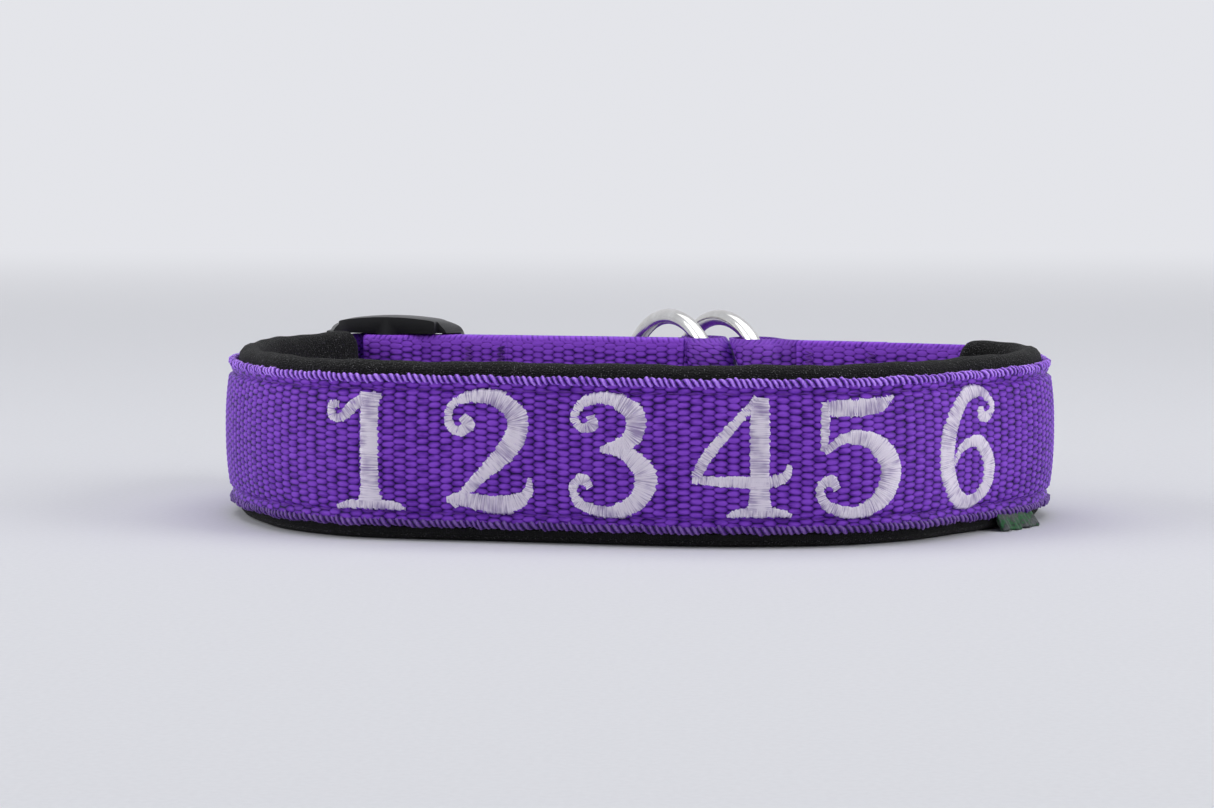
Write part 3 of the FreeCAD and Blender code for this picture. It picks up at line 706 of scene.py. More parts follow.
# %% Make the two selvages
def selvage(name, side, finish):
    s = np.append(np.arange(0, BAND_LENGTH - 0.1, 0.19), BAND_LENGTH)
    turn = np.linspace(-math.pi, math.pi, 13)[:-1]
    s_grid, turn_grid = np.meshgrid(s, turn, indexing="ij")
    warped = s + 0.35 * np.sin(s * 0.29 + side) + 0.16 * np.sin(s * 0.83)
    twist = warped[:, None] / TWIST_PITCH + TWIST_STARTS * turn_grid / (2 * math.pi)
    strand = np.floor(twist).astype(int)
    lifted = np.random.default_rng(3 + side).uniform(0.6, 1.0, 400)[strand]
    lifted = lifted * (1 + 0.22 * np.sin(5 * turn_grid + 2.4 * strand))
    wander = 0.09 * np.sin(s_grid * 0.37 + side) + 0.09 * np.sin(s_grid * 0.91 + 2)
    uneven = 1 + 0.10 * np.sin(s_grid * 1.9 + side) * np.sin(s_grid * 0.43)
    radius = (0.50 + 0.46 * lifted * np.abs(np.sin(math.pi * twist)) ** 0.8) * uneven
    v = side * (WEB_WIDTH / 2 - 0.72 + wander * 1.1) + radius * np.sin(turn_grid) * 1.08
    out = 0.28 + wander + radius * np.cos(turn_grid)
    piece = swept(name, on_band(s_grid, v, out), warped, turn * ROLL_RADIUS)
    place(piece, "band", finish, "webbing")


selvage("upper_selvage", 1, UPPER_SELVAGE_FINISH)
selvage("lower_selvage", -1, LOWER_SELVAGE_FINISH)

# %% [markdown]
# ### Edge stitching
# One line of lock stitch runs along each edge, in long stitches that dip into the webbing between
# one needle hole and the next. Every stitch is the same short six-sided grain, pinched at its ends.

# %% Make the edge stitches
STITCH_PITCH = 3.6
STITCH_HOLE = 0.25            # half of the gap between one stitch and the next
THREAD_RADIUS = 0.30
SIX_SIDES = np.linspace(0, 2 * math.pi, 7)[:-1]


def stitch_line(name, side, node):
    grains = []
    swell = np.sin(math.pi * np.linspace(0.05, 0.95, 6)) ** 0.6
    radius = THREAD_RADIUS * swell[:, None]
    lift = (0.16 * swell - 0.12)[:, None]
    line = side * (WEB_WIDTH / 2 - STITCH_INSET)
    for start in np.arange(1.0, BAND_LENGTH - STITCH_PITCH, STITCH_PITCH):
        s = np.linspace(start + STITCH_HOLE, start + STITCH_PITCH - STITCH_HOLE, 6)
        s_grid, turn_grid = np.meshgrid(s, SIX_SIDES, indexing="ij")
        v = line + radius * np.sin(turn_grid)
        out = outer_face(s_grid, line) + lift + radius * np.cos(turn_grid)
        grains.append(swept("grain", on_band(s_grid, v, out), s, SIX_SIDES * THREAD_RADIUS))
    place(joined(name, grains), "band", SEWING_FINISH, "sewing_thread", node)


stitch_line("upper_stitching", 1, "top_edge_stitch")
stitch_line("lower_stitching", -1, "bottom_edge_stitch")

# %% [markdown]
# ## The embroidered figures
# The place of a name is filled with plain numbers, 1 to 6, in a tall serif style. Satin stitch is
# thread laid side by side across a stroke, so each stroke is a ribbon swept along its middle line:
# raised in the middle, with a ridge for each thread and a slightly ragged edge where the needle
# went in. A figure is a few strokes, each a smooth curve through the few points that it needs,
# written as (x, y, half width) in millimetres from the figure's middle.

# %% The strokes of the six figures
FIGURES = {
    "one": (((2.0, 10.6, 1.2), (-2.0, 9.4, 1.5), (-5.0, 6.6, 1.2), (-7.2, 6.6, 1.0), (-7.4, 8.8, 1.2),
             (-5.8, 9.0, 0.8)),
            ((0.8, 11.5, 2.6), (0.6, 8.0, 2.2), (0.6, -6.0, 2.2), (0.6, -10.4, 2.9)),
            ((-6.6, -11.5, 0.4), (-3.2, -10.8, 1.0), (4.4, -10.8, 1.0), (7.8, -11.5, 0.4))),
    "two": (((-4.9, 7.2, 1.0), (-3.6, 5.6, 1.6), (-5.6, 4.2, 1.2), (-7.6, 6.0, 1.0), (-7.0, 9.4, 1.0),
             (-2.8, 11.0, 1.3), (2.6, 10.4, 1.9), (6.4, 6.6, 2.6), (4.6, 1.2, 2.5), (-1.6, -5.0, 1.5),
             (-7.0, -10.6, 1.0)),
            ((-8.2, -9.4, 0.6), (-5.0, -9.2, 1.7), (0.0, -10.0, 2.0), (5.2, -9.8, 2.0),
             (8.2, -7.8, 1.2), (8.8, -4.6, 0.4))),
    "three": (((-4.2, 7.8, 1.0), (-3.8, 6.0, 1.5), (-6.0, 5.4, 1.1), (-7.4, 7.6, 1.0), (-5.4, 10.4, 1.2),
               (-0.4, 11.0, 1.4), (4.6, 8.2, 2.4), (3.8, 3.4, 2.1), (-2.0, 1.1, 0.8)),
              ((-2.2, 1.3, 0.7), (2.8, 0.6, 1.7), (6.8, -3.6, 2.6), (5.0, -8.8, 2.2), (-0.6, -11.0, 1.4),
               (-6.2, -9.6, 1.2), (-7.6, -6.2, 1.0), (-5.6, -4.6, 1.3), (-4.2, -6.4, 0.9))),
    "four": (((3.4, 11.4, 1.0), (-1.6, 6.0, 1.2), (-6.2, 0.4, 1.3), (-8.6, -4.0, 1.2)),
             ((-9.2, -4.4, 0.8), (-2.2, -4.7, 1.3), (5.4, -4.7, 1.3), (8.6, -3.6, 1.2), (9.4, -1.4, 0.4)),
             ((3.9, 11.6, 1.8), (3.7, 7.6, 2.2), (3.7, -6.0, 2.2), (3.7, -10.4, 2.8)),
             ((-2.6, -11.5, 0.4), (0.4, -10.8, 1.0), (7.0, -10.8, 1.0), (10.0, -11.5, 0.4))),
    "five": (((-6.2, 9.4, 1.8), (-1.4, 9.4, 2.0), (4.2, 9.8, 1.8), (7.8, 11.5, 0.4)),
             ((-6.4, 10.6, 1.0), (-6.6, 6.4, 1.1), (-6.9, 1.0, 0.8)),
             ((-6.8, 1.0, 0.7), (-2.4, 3.6, 1.3), (3.2, 2.6, 2.1), (6.8, -2.4, 2.7), (5.0, -8.4, 2.3),
              (-0.4, -11.0, 1.4), (-6.0, -9.6, 1.2), (-7.6, -6.2, 1.0), (-5.6, -4.6, 1.3),
              (-4.2, -6.4, 0.9))),
    "six": (((4.0, 8.0, 1.0), (4.2, 6.2, 1.5), (6.4, 6.0, 1.1), (7.6, 8.4, 1.0), (4.0, 11.0, 1.3),
             (-1.4, 9.8, 1.8), (-6.0, 4.0, 2.5), (-6.8, -3.4, 2.6), (-3.6, -9.4, 2.1), (1.6, -10.8, 1.5),
             (6.0, -8.0, 2.0), (6.4, -3.0, 2.2), (3.0, 1.0, 1.7), (-2.0, 0.4, 1.1), (-5.0, -3.0, 0.7)),),
}
THREAD_PITCH = 0.38
STITCH_PROUD = 0.62
print("figures:", {name: len(strokes) for name, strokes in FIGURES.items()})


# %% Smooth middle line of a stroke
def smooth_line(points, step):
    """A curve through the points, as places and half widths a step apart."""
    points = np.array(points)
    ends = np.vstack([2 * points[0] - points[1], points, 2 * points[-1] - points[-2]])
    fine = []
    for p0, p1, p2, p3 in zip(ends, ends[1:], ends[2:], ends[3:]):
        for t in np.linspace(0, 1, 24, endpoint=False):
            fine.append(0.5 * (2 * p1 + (p2 - p0) * t + (2 * p0 - 5 * p1 + 4 * p2 - p3) * t ** 2
                               + (3 * p1 - p0 - 3 * p2 + p3) * t ** 3))
    fine = np.array(fine + [points[-1]])
    along = run_along(fine[:, :2])
    s = np.arange(0, along[-1], step)
    line = np.stack([np.interp(s, along, fine[:, k]) for k in range(3)], -1)
    return s, line, ways(line[:, :2])


# %% One satin stroke, laid on the band
def satin_stroke(points, middle, layer, chance):
    s, line, way = smooth_line(points, THREAD_PITCH / 3)
    across = np.linspace(-1, 1, 9)
    thread = np.floor(s / THREAD_PITCH).astype(int)
    ragged = chance.uniform(-0.2, 0.2, thread[-1] + 2)
    lifted = chance.uniform(0.72, 1.0, thread[-1] + 2)
    half = np.maximum(line[:, 2] + ragged[thread] * 0.8, 0.2)
    ridge = lifted[thread] * (1 - 0.45 * np.abs(np.cos(math.pi * s / THREAD_PITCH)) ** 2)
    dome = (1 - np.abs(across) ** 3.2) ** 0.5
    height = 0.05 + STITCH_PROUD * ridge[:, None] * dome * np.minimum(1, 0.55 + half / 4)[:, None]
    x = line[:, 0, None] - way[:, 1, None] * across * half[:, None]
    y = line[:, 1, None] + way[:, 0, None] * across * half[:, None]
    back_x, back_y = x[:, ::-4], y[:, ::-4]
    x = np.concatenate([x, back_x[:, 1:-1]], 1)
    y = np.concatenate([y, back_y[:, 1:-1]], 1)
    height = np.concatenate([height, np.full(back_x[:, 1:-1].shape, -0.25)], 1)
    height[:, 0] = height[:, len(across) - 1] = -0.15
    distance = middle + x
    out = outer_face(distance, np.clip(y, -11.7, 11.7)) + 0.12 + layer + height
    v = np.append(across * 2.0, [0.0] * (x.shape[1] - len(across)))
    return swept("stroke", on_band(distance, y, out), s, v)


# %% Sew the figures
chance = np.random.default_rng(7)
FRONT_MIDDLES = [-53.6, -29.8, -5.2, 19.5, 42.0, 64.4]
front_s = np.linspace(60, BAND_LENGTH - 60, 4000)
front_spots = walk(BAND, front_s)[0]
facing = front_spots[:, 1] < -20
facing_x = front_spots[facing, 0] - MOVE[0]
for (name, strokes), wanted in zip(FIGURES.items(), FRONT_MIDDLES):
    middle = front_s[facing][np.argmin(np.abs(facing_x - wanted))]
    sewn = [satin_stroke(points, middle, 0.04 * k, chance) for k, points in enumerate(strokes)]
    place(joined("figure_" + name, sewn), "band", EMBROIDERY_FINISH, "embroidery_thread", "embroidery")

# %% [markdown]
# ## The padding
# The padding is foam in a black knit cover. It is taller than the webbing, so it shows as a soft
# roll above and below it, and its ends are rounded over. It is swept like the webbing, with a slow
# unevenness in its thickness and height, because hand-sewn foam is never quite straight. A cloth
# simulation adds nothing here: the webbing holds the padding's whole outer side.

# %% Make the padding
PAD_HEIGHT = pad_high.z - pad_low.z
PAD_PAST = 0.6                # its cover reaches this far past the webbing's ends
PAD_ROUND = 3.6               # length of its rounded ends


def make_padding():
    close = np.linspace(-PAD_PAST, PAD_ROUND - PAD_PAST, 12)
    s = np.concatenate([close, np.arange(3.8, BAND_LENGTH - 3.8, 0.9), BAND_LENGTH - close[::-1]])
    turn = np.linspace(0, 2 * math.pi, 15)[:-1]
    half = PAD_THICK / 2
    flat = PAD_HEIGHT / 2 - half
    straight = np.linspace(-1, 1, 14) * flat
    upper = turn[(turn >= 0) & (turn <= math.pi + 1e-6)]
    lower = turn[turn > math.pi]
    out = np.concatenate([np.full(14, half), np.cos(upper)[1:-1] * half, np.full(14, -half),
                          np.cos(lower) * half])
    z = np.concatenate([straight, flat + np.sin(upper)[1:-1] * half, straight[::-1],
                        -flat + np.sin(lower) * half])
    s_grid, out_grid = np.meshgrid(s, out, indexing="ij")
    z_grid = np.broadcast_to(z, s_grid.shape)
    from_end = np.clip(np.minimum(s + PAD_PAST, BAND_LENGTH + PAD_PAST - s) / PAD_ROUND, 0, 1)
    round_off = np.sqrt(1 - (1 - from_end) ** 2)[:, None]
    soft = 0.12 * np.sin(s_grid * 0.23 + 1) + 0.08 * np.sin(s_grid * 0.61 + z_grid * 0.2)
    thick = out_grid * (0.12 + 0.88 * round_off) * (1 + 0.05 * np.sin(s_grid * 0.31))
    inner_swell = np.where(out_grid < 0, -0.35 * (1 - (z_grid / (PAD_HEIGHT / 2)) ** 2), 0)
    top = np.sign(z_grid) * (PAD_HEIGHT / 2 - 1.5) * (round_off - 1) * 0.35
    height = z_grid + top + soft * (z_grid > 0)
    offset = -(WEB_THICK / 2 + 0.05 + half) + thick + inner_swell
    spot, left = walk(BAND, s_grid)
    plan = spot - left * offset[..., None]
    rows = np.concatenate([plan, (pad_low.z + PAD_HEIGHT / 2 + height)[..., None]], -1)
    return swept("padding", rows, s, run_along(np.stack([out, z], -1)))


padding = place(make_padding(), "band", PADDING_FINISH, "padding_cover", "pad_cover", "pad_foam")


# %% [markdown]
# ## The bare straps
# The two straps behind the band are the same webbing without padding. A plain strip has rounded
# edges and its weave in its finish, because its route bends sharply at the slider and at the ring
# folds. One helper makes every strip, from the middle line of its route.

# %% A strip of webbing along a route
def strip_rows(route, s, width, middle_z, thick=WEB_THICK, shift=0.0):
    """Section rows of a strip on its edge; shift moves it to the right of its route."""
    rim = np.linspace(-math.pi / 2, math.pi / 2, 7)[1:-1]
    flat = width / 2 - thick / 2
    rows_v = np.linspace(-flat, flat, 15)
    crown = 0.12 * (np.abs(rows_v) / (width / 2)) ** 6
    v = np.concatenate([rows_v, flat + np.cos(rim) * thick / 2,
                        rows_v[::-1], -flat - np.cos(rim) * thick / 2])
    out = np.concatenate([thick / 2 + crown, -np.sin(rim) * thick / 2,
                          -thick / 2 - crown, np.sin(rim) * thick / 2])
    spot, left = walk(route, s)
    plan = spot[:, None, :] - left[:, None, :] * (out[None, :, None] + shift)
    z = np.broadcast_to(middle_z + v, plan.shape[:2])
    return np.concatenate([plan, z[..., None]], -1), v


def strip(name, route, step=0.8, shift=0.0, first=0.0):
    """A bare strap; first is where its weave starts, so that two layers don't show the same bumps."""
    length = route[0][-1]
    s = np.linspace(0, length, max(3, int(length / step)))
    rows, v = strip_rows(route, s, WEB_WIDTH, STRAP_MIDDLE, shift=shift)
    return swept(name, rows, s + first, v)


def on_left(along, out):
    return LEFT_WIRE + LEFT_ALONG * along + LEFT_OUT * out


def on_right(along, out):
    return RIGHT_WIRE + RIGHT_ALONG * along + RIGHT_OUT * out


STRAP_MIDDLE = (strap_low.z + strap_high.z) / 2
print("bare straps stand", round(strap_low.z, 2), "to", round(strap_high.z, 2))

# %% Left strap: out of the padding, round the turn, through the slider, to the fold
left_route = trace([PAD_LEFT_END, TURN, on_left(-FOLD_LEG, STACK)], [4.0])
left_strap = strip("left_strap_webbing", left_route)
place(left_strap, "band", STRAP_FINISH, "webbing", "left_strap")

# %% Tail strap: the layer that comes back from the fold
TAIL_START = -SLIDER_AT + TAIL_SEWN + 0.1
tail_route = trace([on_left(TAIL_START, -STACK), on_left(-FOLD_LEG, -STACK)], [])
tail_strap = strip("tail_strap_webbing", tail_route)
place(tail_strap, "band", STRAP_FINISH, "webbing", "tail_strap")
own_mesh(tail_strap)

# %% Right strap and its lap
right_radius = min(own_radii([SIDES[-1], RIGHT_START, RIGHT_WIRE])[0], 60.0)
right_route = trace([PAD_RIGHT_END, RIGHT_START, on_right(-FOLD_LEG, 0)], [right_radius])
right_strap = strip("right_strap_webbing", right_route, shift=-RIGHT_PLY)
place(right_strap, "band", STRAP_FINISH, "webbing", "right_strap")
lap_route = trace([on_right(-FOLD_LEG - RIGHT_LAP, RIGHT_PLY), on_right(-FOLD_LEG, RIGHT_PLY)], [])
right_lap = strip("right_lap_webbing", lap_route, first=3.0)
place(right_lap, "band", STRAP_FINISH, "webbing", "right_lap")


# %% [markdown]
# ### The folds round the rings
# Each strap turns back on itself round its ring's wire. The ring is round and the webbing is flat,
# so the fold is tight at mid height and follows the wire's curve away above and below it. The sheet
# is a grid whose rows are plan loops, one for each height, with the loop's middle on the wire.

# %% Make a fold
FOLD_FLARE = 2.4              # the webbing springs open above and below the ring's wire
FOLD_FOLLOW = 0.82            # how much of the wire's curve it follows
FOLD_WRAP = 150               # degrees round the wire, each way


def leg(start, away, tip, arrive, count=6):
    """A smooth line from start, which it leaves in one direction, to tip, where it takes another."""
    pull = np.linalg.norm(tip - start)
    t = np.linspace(0, 1, count + 1)[:-1][:, None]
    return ((2 * t ** 3 - 3 * t ** 2 + 1) * start + (t ** 3 - 2 * t ** 2 + t) * away * pull
            + (3 * t ** 2 - 2 * t ** 3) * tip + (t ** 3 - t ** 2) * arrive * pull)


def fold(name, wire, along, out, ply, node):
    """The loop between two layers that lie ply to each side of the wire's middle."""
    heights = np.linspace(-WEB_WIDTH / 2, WEB_WIDTH / 2, 25)
    lift = STRAP_MIDDLE - RING_MIDDLE
    surfaces = []
    for skin in (WEB_THICK / 2, -WEB_THICK / 2):
        rows = []
        for height in heights:
            reach = np.clip(abs(height + lift), 0, RING_RADIUS - 0.6)
            away = RING_RADIUS - math.sqrt(RING_RADIUS ** 2 - reach ** 2)
            middle = RING_WAY * away * FOLD_FOLLOW
            radius = RING_WIRE / 2 + 0.25 + WEB_THICK / 2 + FOLD_FLARE * ease((reach - 3) / 6)
            thin = ease((WEB_WIDTH / 2 - abs(height)) / 0.7) * 0.55 + 0.45
            turn = np.linspace(-FOLD_WRAP, FOLD_WRAP, 22) * math.pi / 180
            wrap = np.stack([middle + radius * (along * math.cos(a) + out * math.sin(a)) for a in turn])
            near = leg(-along * FOLD_LEG - out * ply, along, wrap[0], unit(wrap[1] - wrap[0]))
            far = leg(-along * FOLD_LEG + out * ply, along, wrap[-1], unit(wrap[-2] - wrap[-1]))
            line = np.vstack([near, wrap, far[::-1]])
            rows.append(wire + line - left_of(ways(line)) * skin * thin)
        surfaces.append(np.array(rows))
    outer, inner = surfaces
    section = np.concatenate([outer, inner[::-1]], 0).transpose(1, 0, 2)
    heights_all = np.concatenate([heights, heights[::-1]])
    z = np.broadcast_to(STRAP_MIDDLE + heights_all, section.shape[:2])
    rows = np.concatenate([section, z[..., None]], -1)
    lengths = np.cumsum(np.linalg.norm(np.diff(rows, axis=0, prepend=rows[:1]), axis=2), axis=0)
    piece = swept(name, rows, lengths, heights_all)
    place(piece, None, FOLD_FINISH, "webbing", node)
    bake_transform(piece)


fold("left_fold_webbing", LEFT_WIRE, LEFT_ALONG, LEFT_OUT, STACK, "left_fold")
fold("right_fold_webbing", RIGHT_WIRE, RIGHT_ALONG, RIGHT_OUT, RIGHT_PLY, "right_fold")


# %% [markdown]
# ### Bar tacks
# A bar tack is a dense zigzag that takes the load where a webbing end is sewn down. One stitch is a
# short grain that lies across the tack, and the tack is a column of them that slant in turn.

# %% Make a bar tack
TACK_PITCH = 0.62
TACK_WIDE = 1.9
TACK_SLANT = 0.34
TACK_PROUD = 0.1              # the threads' middle stands this far off the webbing
TACK_INSET = 2.0              # a tack ends this far in from the webbing's edges
TACK_SHARES = (0.15, 0.85)    # where two tacks sit along a lap


def bar_tack(origin, along, out, at, face, side, low, high):
    grains = []
    for k, z in enumerate(np.arange(low + TACK_INSET, high - TACK_INSET, TACK_PITCH)):
        slant = TACK_SLANT if k % 2 else -TACK_SLANT
        share = np.linspace(0, 1, 5)
        u = at + (share - 0.5) * TACK_WIDE
        swell = 0.28 * np.sin(math.pi * (0.08 + 0.84 * share)) ** 0.5
        lift = side * (face + TACK_PROUD + swell[:, None] * (0.10 + np.cos(SIX_SIDES)))
        plan = origin + u[:, None, None] * along + lift[..., None] * out
        rise = z + slant * (share - 0.5)[:, None] * 2 + swell[:, None] * np.sin(SIX_SIDES)
        rows = np.concatenate([plan, rise[..., None]], -1)
        grains.append(swept("tack", rows, u, SIX_SIDES * THREAD_RADIUS))
    return joined("tack", grains)


def strap_tack(origin, along, out, at, face, side):
    return bar_tack(origin, along, out, at, face, side, strap_low.z, strap_high.z)


right_tacks = []
for share in TACK_SHARES:
    spot = -FOLD_LEG - RIGHT_LAP * share
    for side in (1, -1):
        right_tacks.append(strap_tack(RIGHT_WIRE, RIGHT_ALONG, RIGHT_OUT, spot,
                                      RIGHT_PLY + WEB_THICK / 2, side))
place(joined("right_strap_tacks", right_tacks), "band", SEWING_FINISH, "sewing_thread", "right_bar_tacks")

# %% [markdown]
# ## The slider and the tail sewn round its bar
# The slider is one moulding with rounded corners. Its engineering solid already has the right
# openings, so a copy of it is merged and given small bevels, as the edges of a mould would be. Its
# two long sides are bowed out a little in the middle, and the ends of the rails behind its front
# plate are tapered. The tail is the webbing's end, taken round the middle bar and sewn back on
# itself.

# %% Make the slider
SLIDER_MIDDLE = LEFT_WIRE - LEFT_ALONG * SLIDER_AT


def softened_copy(name, node, width, limit):
    """A merged and bevelled copy of an engineering node."""
    source = frame["nodes"][node]
    piece = bpy.data.objects.new(name, source.data.copy())
    bpy.context.scene.collection.objects.link(piece)
    only(piece)
    bpy.ops.object.mode_set(mode="EDIT")
    bpy.ops.mesh.select_all(action="SELECT")
    bpy.ops.mesh.remove_doubles(threshold=1e-6)
    bpy.ops.mesh.select_all(action="SELECT")
    bpy.ops.mesh.dissolve_limited(angle_limit=math.radians(2))
    bpy.ops.object.mode_set(mode="OBJECT")
    bevel = piece.modifiers.new("rounding", "BEVEL")
    bevel.width = width * MM
    bevel.segments = 3
    bevel.limit_method = "ANGLE"
    bevel.angle_limit = math.radians(limit)
    bevel.use_clamp_overlap = True
    bpy.ops.object.modifier_apply(modifier=bevel.name)
    bpy.ops.object.shade_smooth_by_angle(angle=math.radians(32))
    return piece


SLIDER_CROWN = 1.0            # its two long sides bow out this far in the middle
SLIDER_RIM = 3.2              # depth of the rim that bows; it ends before the strap's window
SLIDER_PLATE_BACK = STACK + WEB_THICK / 2 + SLIDE_GAP
BOW_HALF = 12.0               # and its half length
SHOULDER_PULL = 2.4           # the rails' ends taper behind the plate, as moulded shoulders do
SHOULDER_FROM = 10.5          # from this far along the slider
SHOULDER_RUN = 5.0            # over this length
SHOULDER_DEPTH = 3.0          # and fully at this depth behind the plate
slider = softened_copy("slider_moulding", "slider", 0.7, 40)
only(slider)
bpy.ops.object.mode_set(mode="EDIT")
for along in np.linspace(-BOW_HALF, BOW_HALF, 9):
    cut = SLIDER_MIDDLE + LEFT_ALONG * along
    bpy.ops.mesh.select_all(action="SELECT")
    bpy.ops.mesh.bisect(plane_co=(cut[0] * MM, cut[1] * MM, 0), plane_no=(LEFT_ALONG[0], LEFT_ALONG[1], 0))
bpy.ops.object.mode_set(mode="OBJECT")
slider_low, slider_high = [np.array(c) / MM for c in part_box("slider")]
slider_half = (slider_high[2] - slider_low[2]) / 2
for vertex in slider.data.vertices:
    flat = np.array(vertex.co)[:2] / MM - SLIDER_MIDDLE
    along, out = flat @ LEFT_ALONG, flat @ LEFT_OUT
    up = vertex.co.z / MM - slider_low[2] - slider_half
    near_rim = ease((abs(up) - slider_half + SLIDER_RIM) / SLIDER_RIM)
    vertex.co.z -= math.copysign(SLIDER_CROWN * near_rim * min(1.0, (along / BOW_HALF) ** 2), up) * MM
    taper = ease((SLIDER_PLATE_BACK - out) / SHOULDER_DEPTH)
    taper *= ease((abs(along) - SHOULDER_FROM) / SHOULDER_RUN)
    vertex.co.xy -= Vector(LEFT_ALONG * math.copysign(SHOULDER_PULL * taper, along)) * MM
place(slider, "slider", SLIDER_FINISH, "slider_plastic", "slider")


# %% Make the tail
def on_slider(along, out):
    return SLIDER_MIDDLE + LEFT_ALONG * along + LEFT_OUT * out


BAR_HALF = 2.5 + SLIDE_GAP    # the middle bar's half width, with its clearance
BAR_TOP = -0.9                # its two faces, out from the slider's middle
BAR_LOW = BAR_TOP - 2.4
bar_middle = (BAR_TOP + BAR_LOW) / 2
turn_radius = (0.15 - WEB_THICK / 2 - BAR_LOW) / 2 + WEB_THICK / 2
tail_tip = -BAR_HALF - turn_radius
tail_outer = bar_middle - turn_radius
tail_inner = bar_middle + turn_radius
tail_corners = [on_slider(TAIL_SEWN, -STACK), on_slider(BAR_HALF + 5.0, -STACK),
                on_slider(BAR_HALF, tail_outer), on_slider(tail_tip, tail_outer),
                on_slider(tail_tip, tail_inner), on_slider(TAIL_SEWN, tail_inner)]
tail_loop_route = trace(tail_corners, [3.0, 3.0, turn_radius * 0.98, turn_radius * 0.98], 0.05)
tail_loop = strip("tail_loop_webbing", tail_loop_route, step=0.5)
place(tail_loop, "slider", STRAP_FINISH, "webbing", "tail_loop")

for node in ("tail_bar_tack_near", "tail_bar_tack_far"):
    low, high = [np.array(c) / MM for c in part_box(node)]
    at = ((low + high) / 2)[:2]
    at = at - LEFT_OUT * ((at - SLIDER_MIDDLE) @ LEFT_OUT)
    tack = strap_tack(at, LEFT_ALONG, LEFT_OUT, 0.0, STACK + WEB_THICK / 2, -1)
    tack.name = node + "_stitches"
    place(tack, "slider", SEWING_FINISH, "sewing_thread", node)

# %% [markdown]
# ## The rings
# The two slip rings are welded from plated wire. A torus is added at its place, and the weld is a
# short stretch where the wire is a little thicker. The D ring is bent wire, and its
# engineering solid already has the right bends, so a merged copy of it is enough.


# %% Make the slip rings
WELD_AT = math.radians(-38)
WELD_WIDE = 0.045             # radians round the ring
WELD_PROUD = 0.07             # the weld is thicker than the wire by this share


def slip_ring(name, body):
    low, high = [Vector(c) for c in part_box(body)]
    centre = (low + high) / 2
    bpy.ops.object.select_all(action="DESELECT")
    bpy.ops.mesh.primitive_torus_add(major_radius=RING_RADIUS * MM, minor_radius=RING_WIRE / 2 * MM,
                                     major_segments=128, minor_segments=24)
    piece = bpy.context.object
    piece.name = name
    for vertex in piece.data.vertices:
        angle = math.atan2(vertex.co.y, vertex.co.x)
        near = math.exp(-((angle - WELD_AT) / WELD_WIDE) ** 2)
        wire_middle = Vector((math.cos(angle), math.sin(angle), 0)) * RING_RADIUS * MM
        vertex.co = wire_middle + (vertex.co - wire_middle) * (1 + WELD_PROUD * near)
    upright = Matrix.Rotation(math.radians(90), 4, "X")
    turn = Matrix.Rotation(math.radians(RING_HEADING), 4, "Z") @ upright
    piece.data.transform(Matrix.Translation(centre) @ turn)
    smooth(piece)
    place(piece, body, STEEL_FINISH, "ring_metal", body)


slip_ring("left_slip_ring", "left_ring")
slip_ring("right_slip_ring", "right_ring")

# %% Make the D ring
d_ring = softened_copy("lead_d_ring", "leash_ring", 0.01, 80)
smooth(d_ring)
place(d_ring, "leash_ring", STEEL_FINISH, "ring_metal", "leash_ring")

# %% [markdown]
# ## The slip loop
# A narrower webbing runs through both rings and holds the D ring at its far corner. Seen from
# above its route is a rounded triangle, with an arc round each ring's far side and a small one
# round the D ring's bar. It droops outwards, so it is made level and then tilted.

# %% Route of the slip loop
LOOP_TILT = math.radians(9.0)
LOOP_REACH = 34.0             # from the line between the rings' far sides to the D ring's bar
LOOP_LAP = 22.0               # sewn overlap of the loop's ends
LOOP_LAP_AT = 4.0             # where the overlap starts, from the left ring
LEFT_FAR = LEFT_WIRE + RING_WAY * RING_RADIUS * 2
RIGHT_FAR = RIGHT_WIRE + RING_WAY * RING_RADIUS * 2
BETWEEN = (LEFT_FAR + RIGHT_FAR) / 2
LOOP_ACROSS = unit(RIGHT_FAR - LEFT_FAR)
LOOP_WAY = left_of(LOOP_ACROSS)
D_BAR = BETWEEN + LOOP_WAY * LOOP_REACH
EYE = 8.208                   # radius of the loop's turn round a ring's far side
D_EYE = 2.3                   # and of its turn round the D ring's bar
HALF_BASE = np.linalg.norm(RIGHT_FAR - LEFT_FAR) / 2
LOOP_SIDE = math.hypot(HALF_BASE, LOOP_REACH)
LOOP_SLOPE = math.atan2(HALF_BASE, LOOP_REACH) + math.asin((EYE - D_EYE) / LOOP_SIDE)


def loop_route(extra):
    """Anticlockwise route round the rings' far sides and the D ring's bar."""
    big, small = EYE + extra, D_EYE + extra
    first = math.atan2(LOOP_ACROSS[1], LOOP_ACROSS[0])
    places = []
    angles = []
    for middle, radius, start, end in ((RIGHT_FAR, big, -math.pi / 2, LOOP_SLOPE),
                                       (D_BAR, small, LOOP_SLOPE, math.pi - LOOP_SLOPE),
                                       (LEFT_FAR, big, math.pi - LOOP_SLOPE, 1.5 * math.pi)):
        for angle in np.linspace(start, end, 40):
            away = LOOP_ACROSS * math.cos(angle) + LOOP_WAY * math.sin(angle)
            places.append(middle + away * radius)
            angles.append(first + angle + math.pi / 2)
    places.append(places[0])
    angles.append(angles[0] + 2 * math.pi)
    places = np.array(places)
    return run_along(places), places, np.array(angles)


def drooped(rows):
    """Tilted about the line between the two rings' far sides."""
    pivot = np.append(BETWEEN, RING_MIDDLE)
    turn = Matrix.Rotation(-LOOP_TILT, 3, Vector((*LOOP_ACROSS, 0)))
    return (rows - pivot) @ np.array(turn).T + pivot


loop_line = loop_route(LOOP_THICK / 2)
print("slip loop, mm round:", round(loop_line[0][-1], 1))

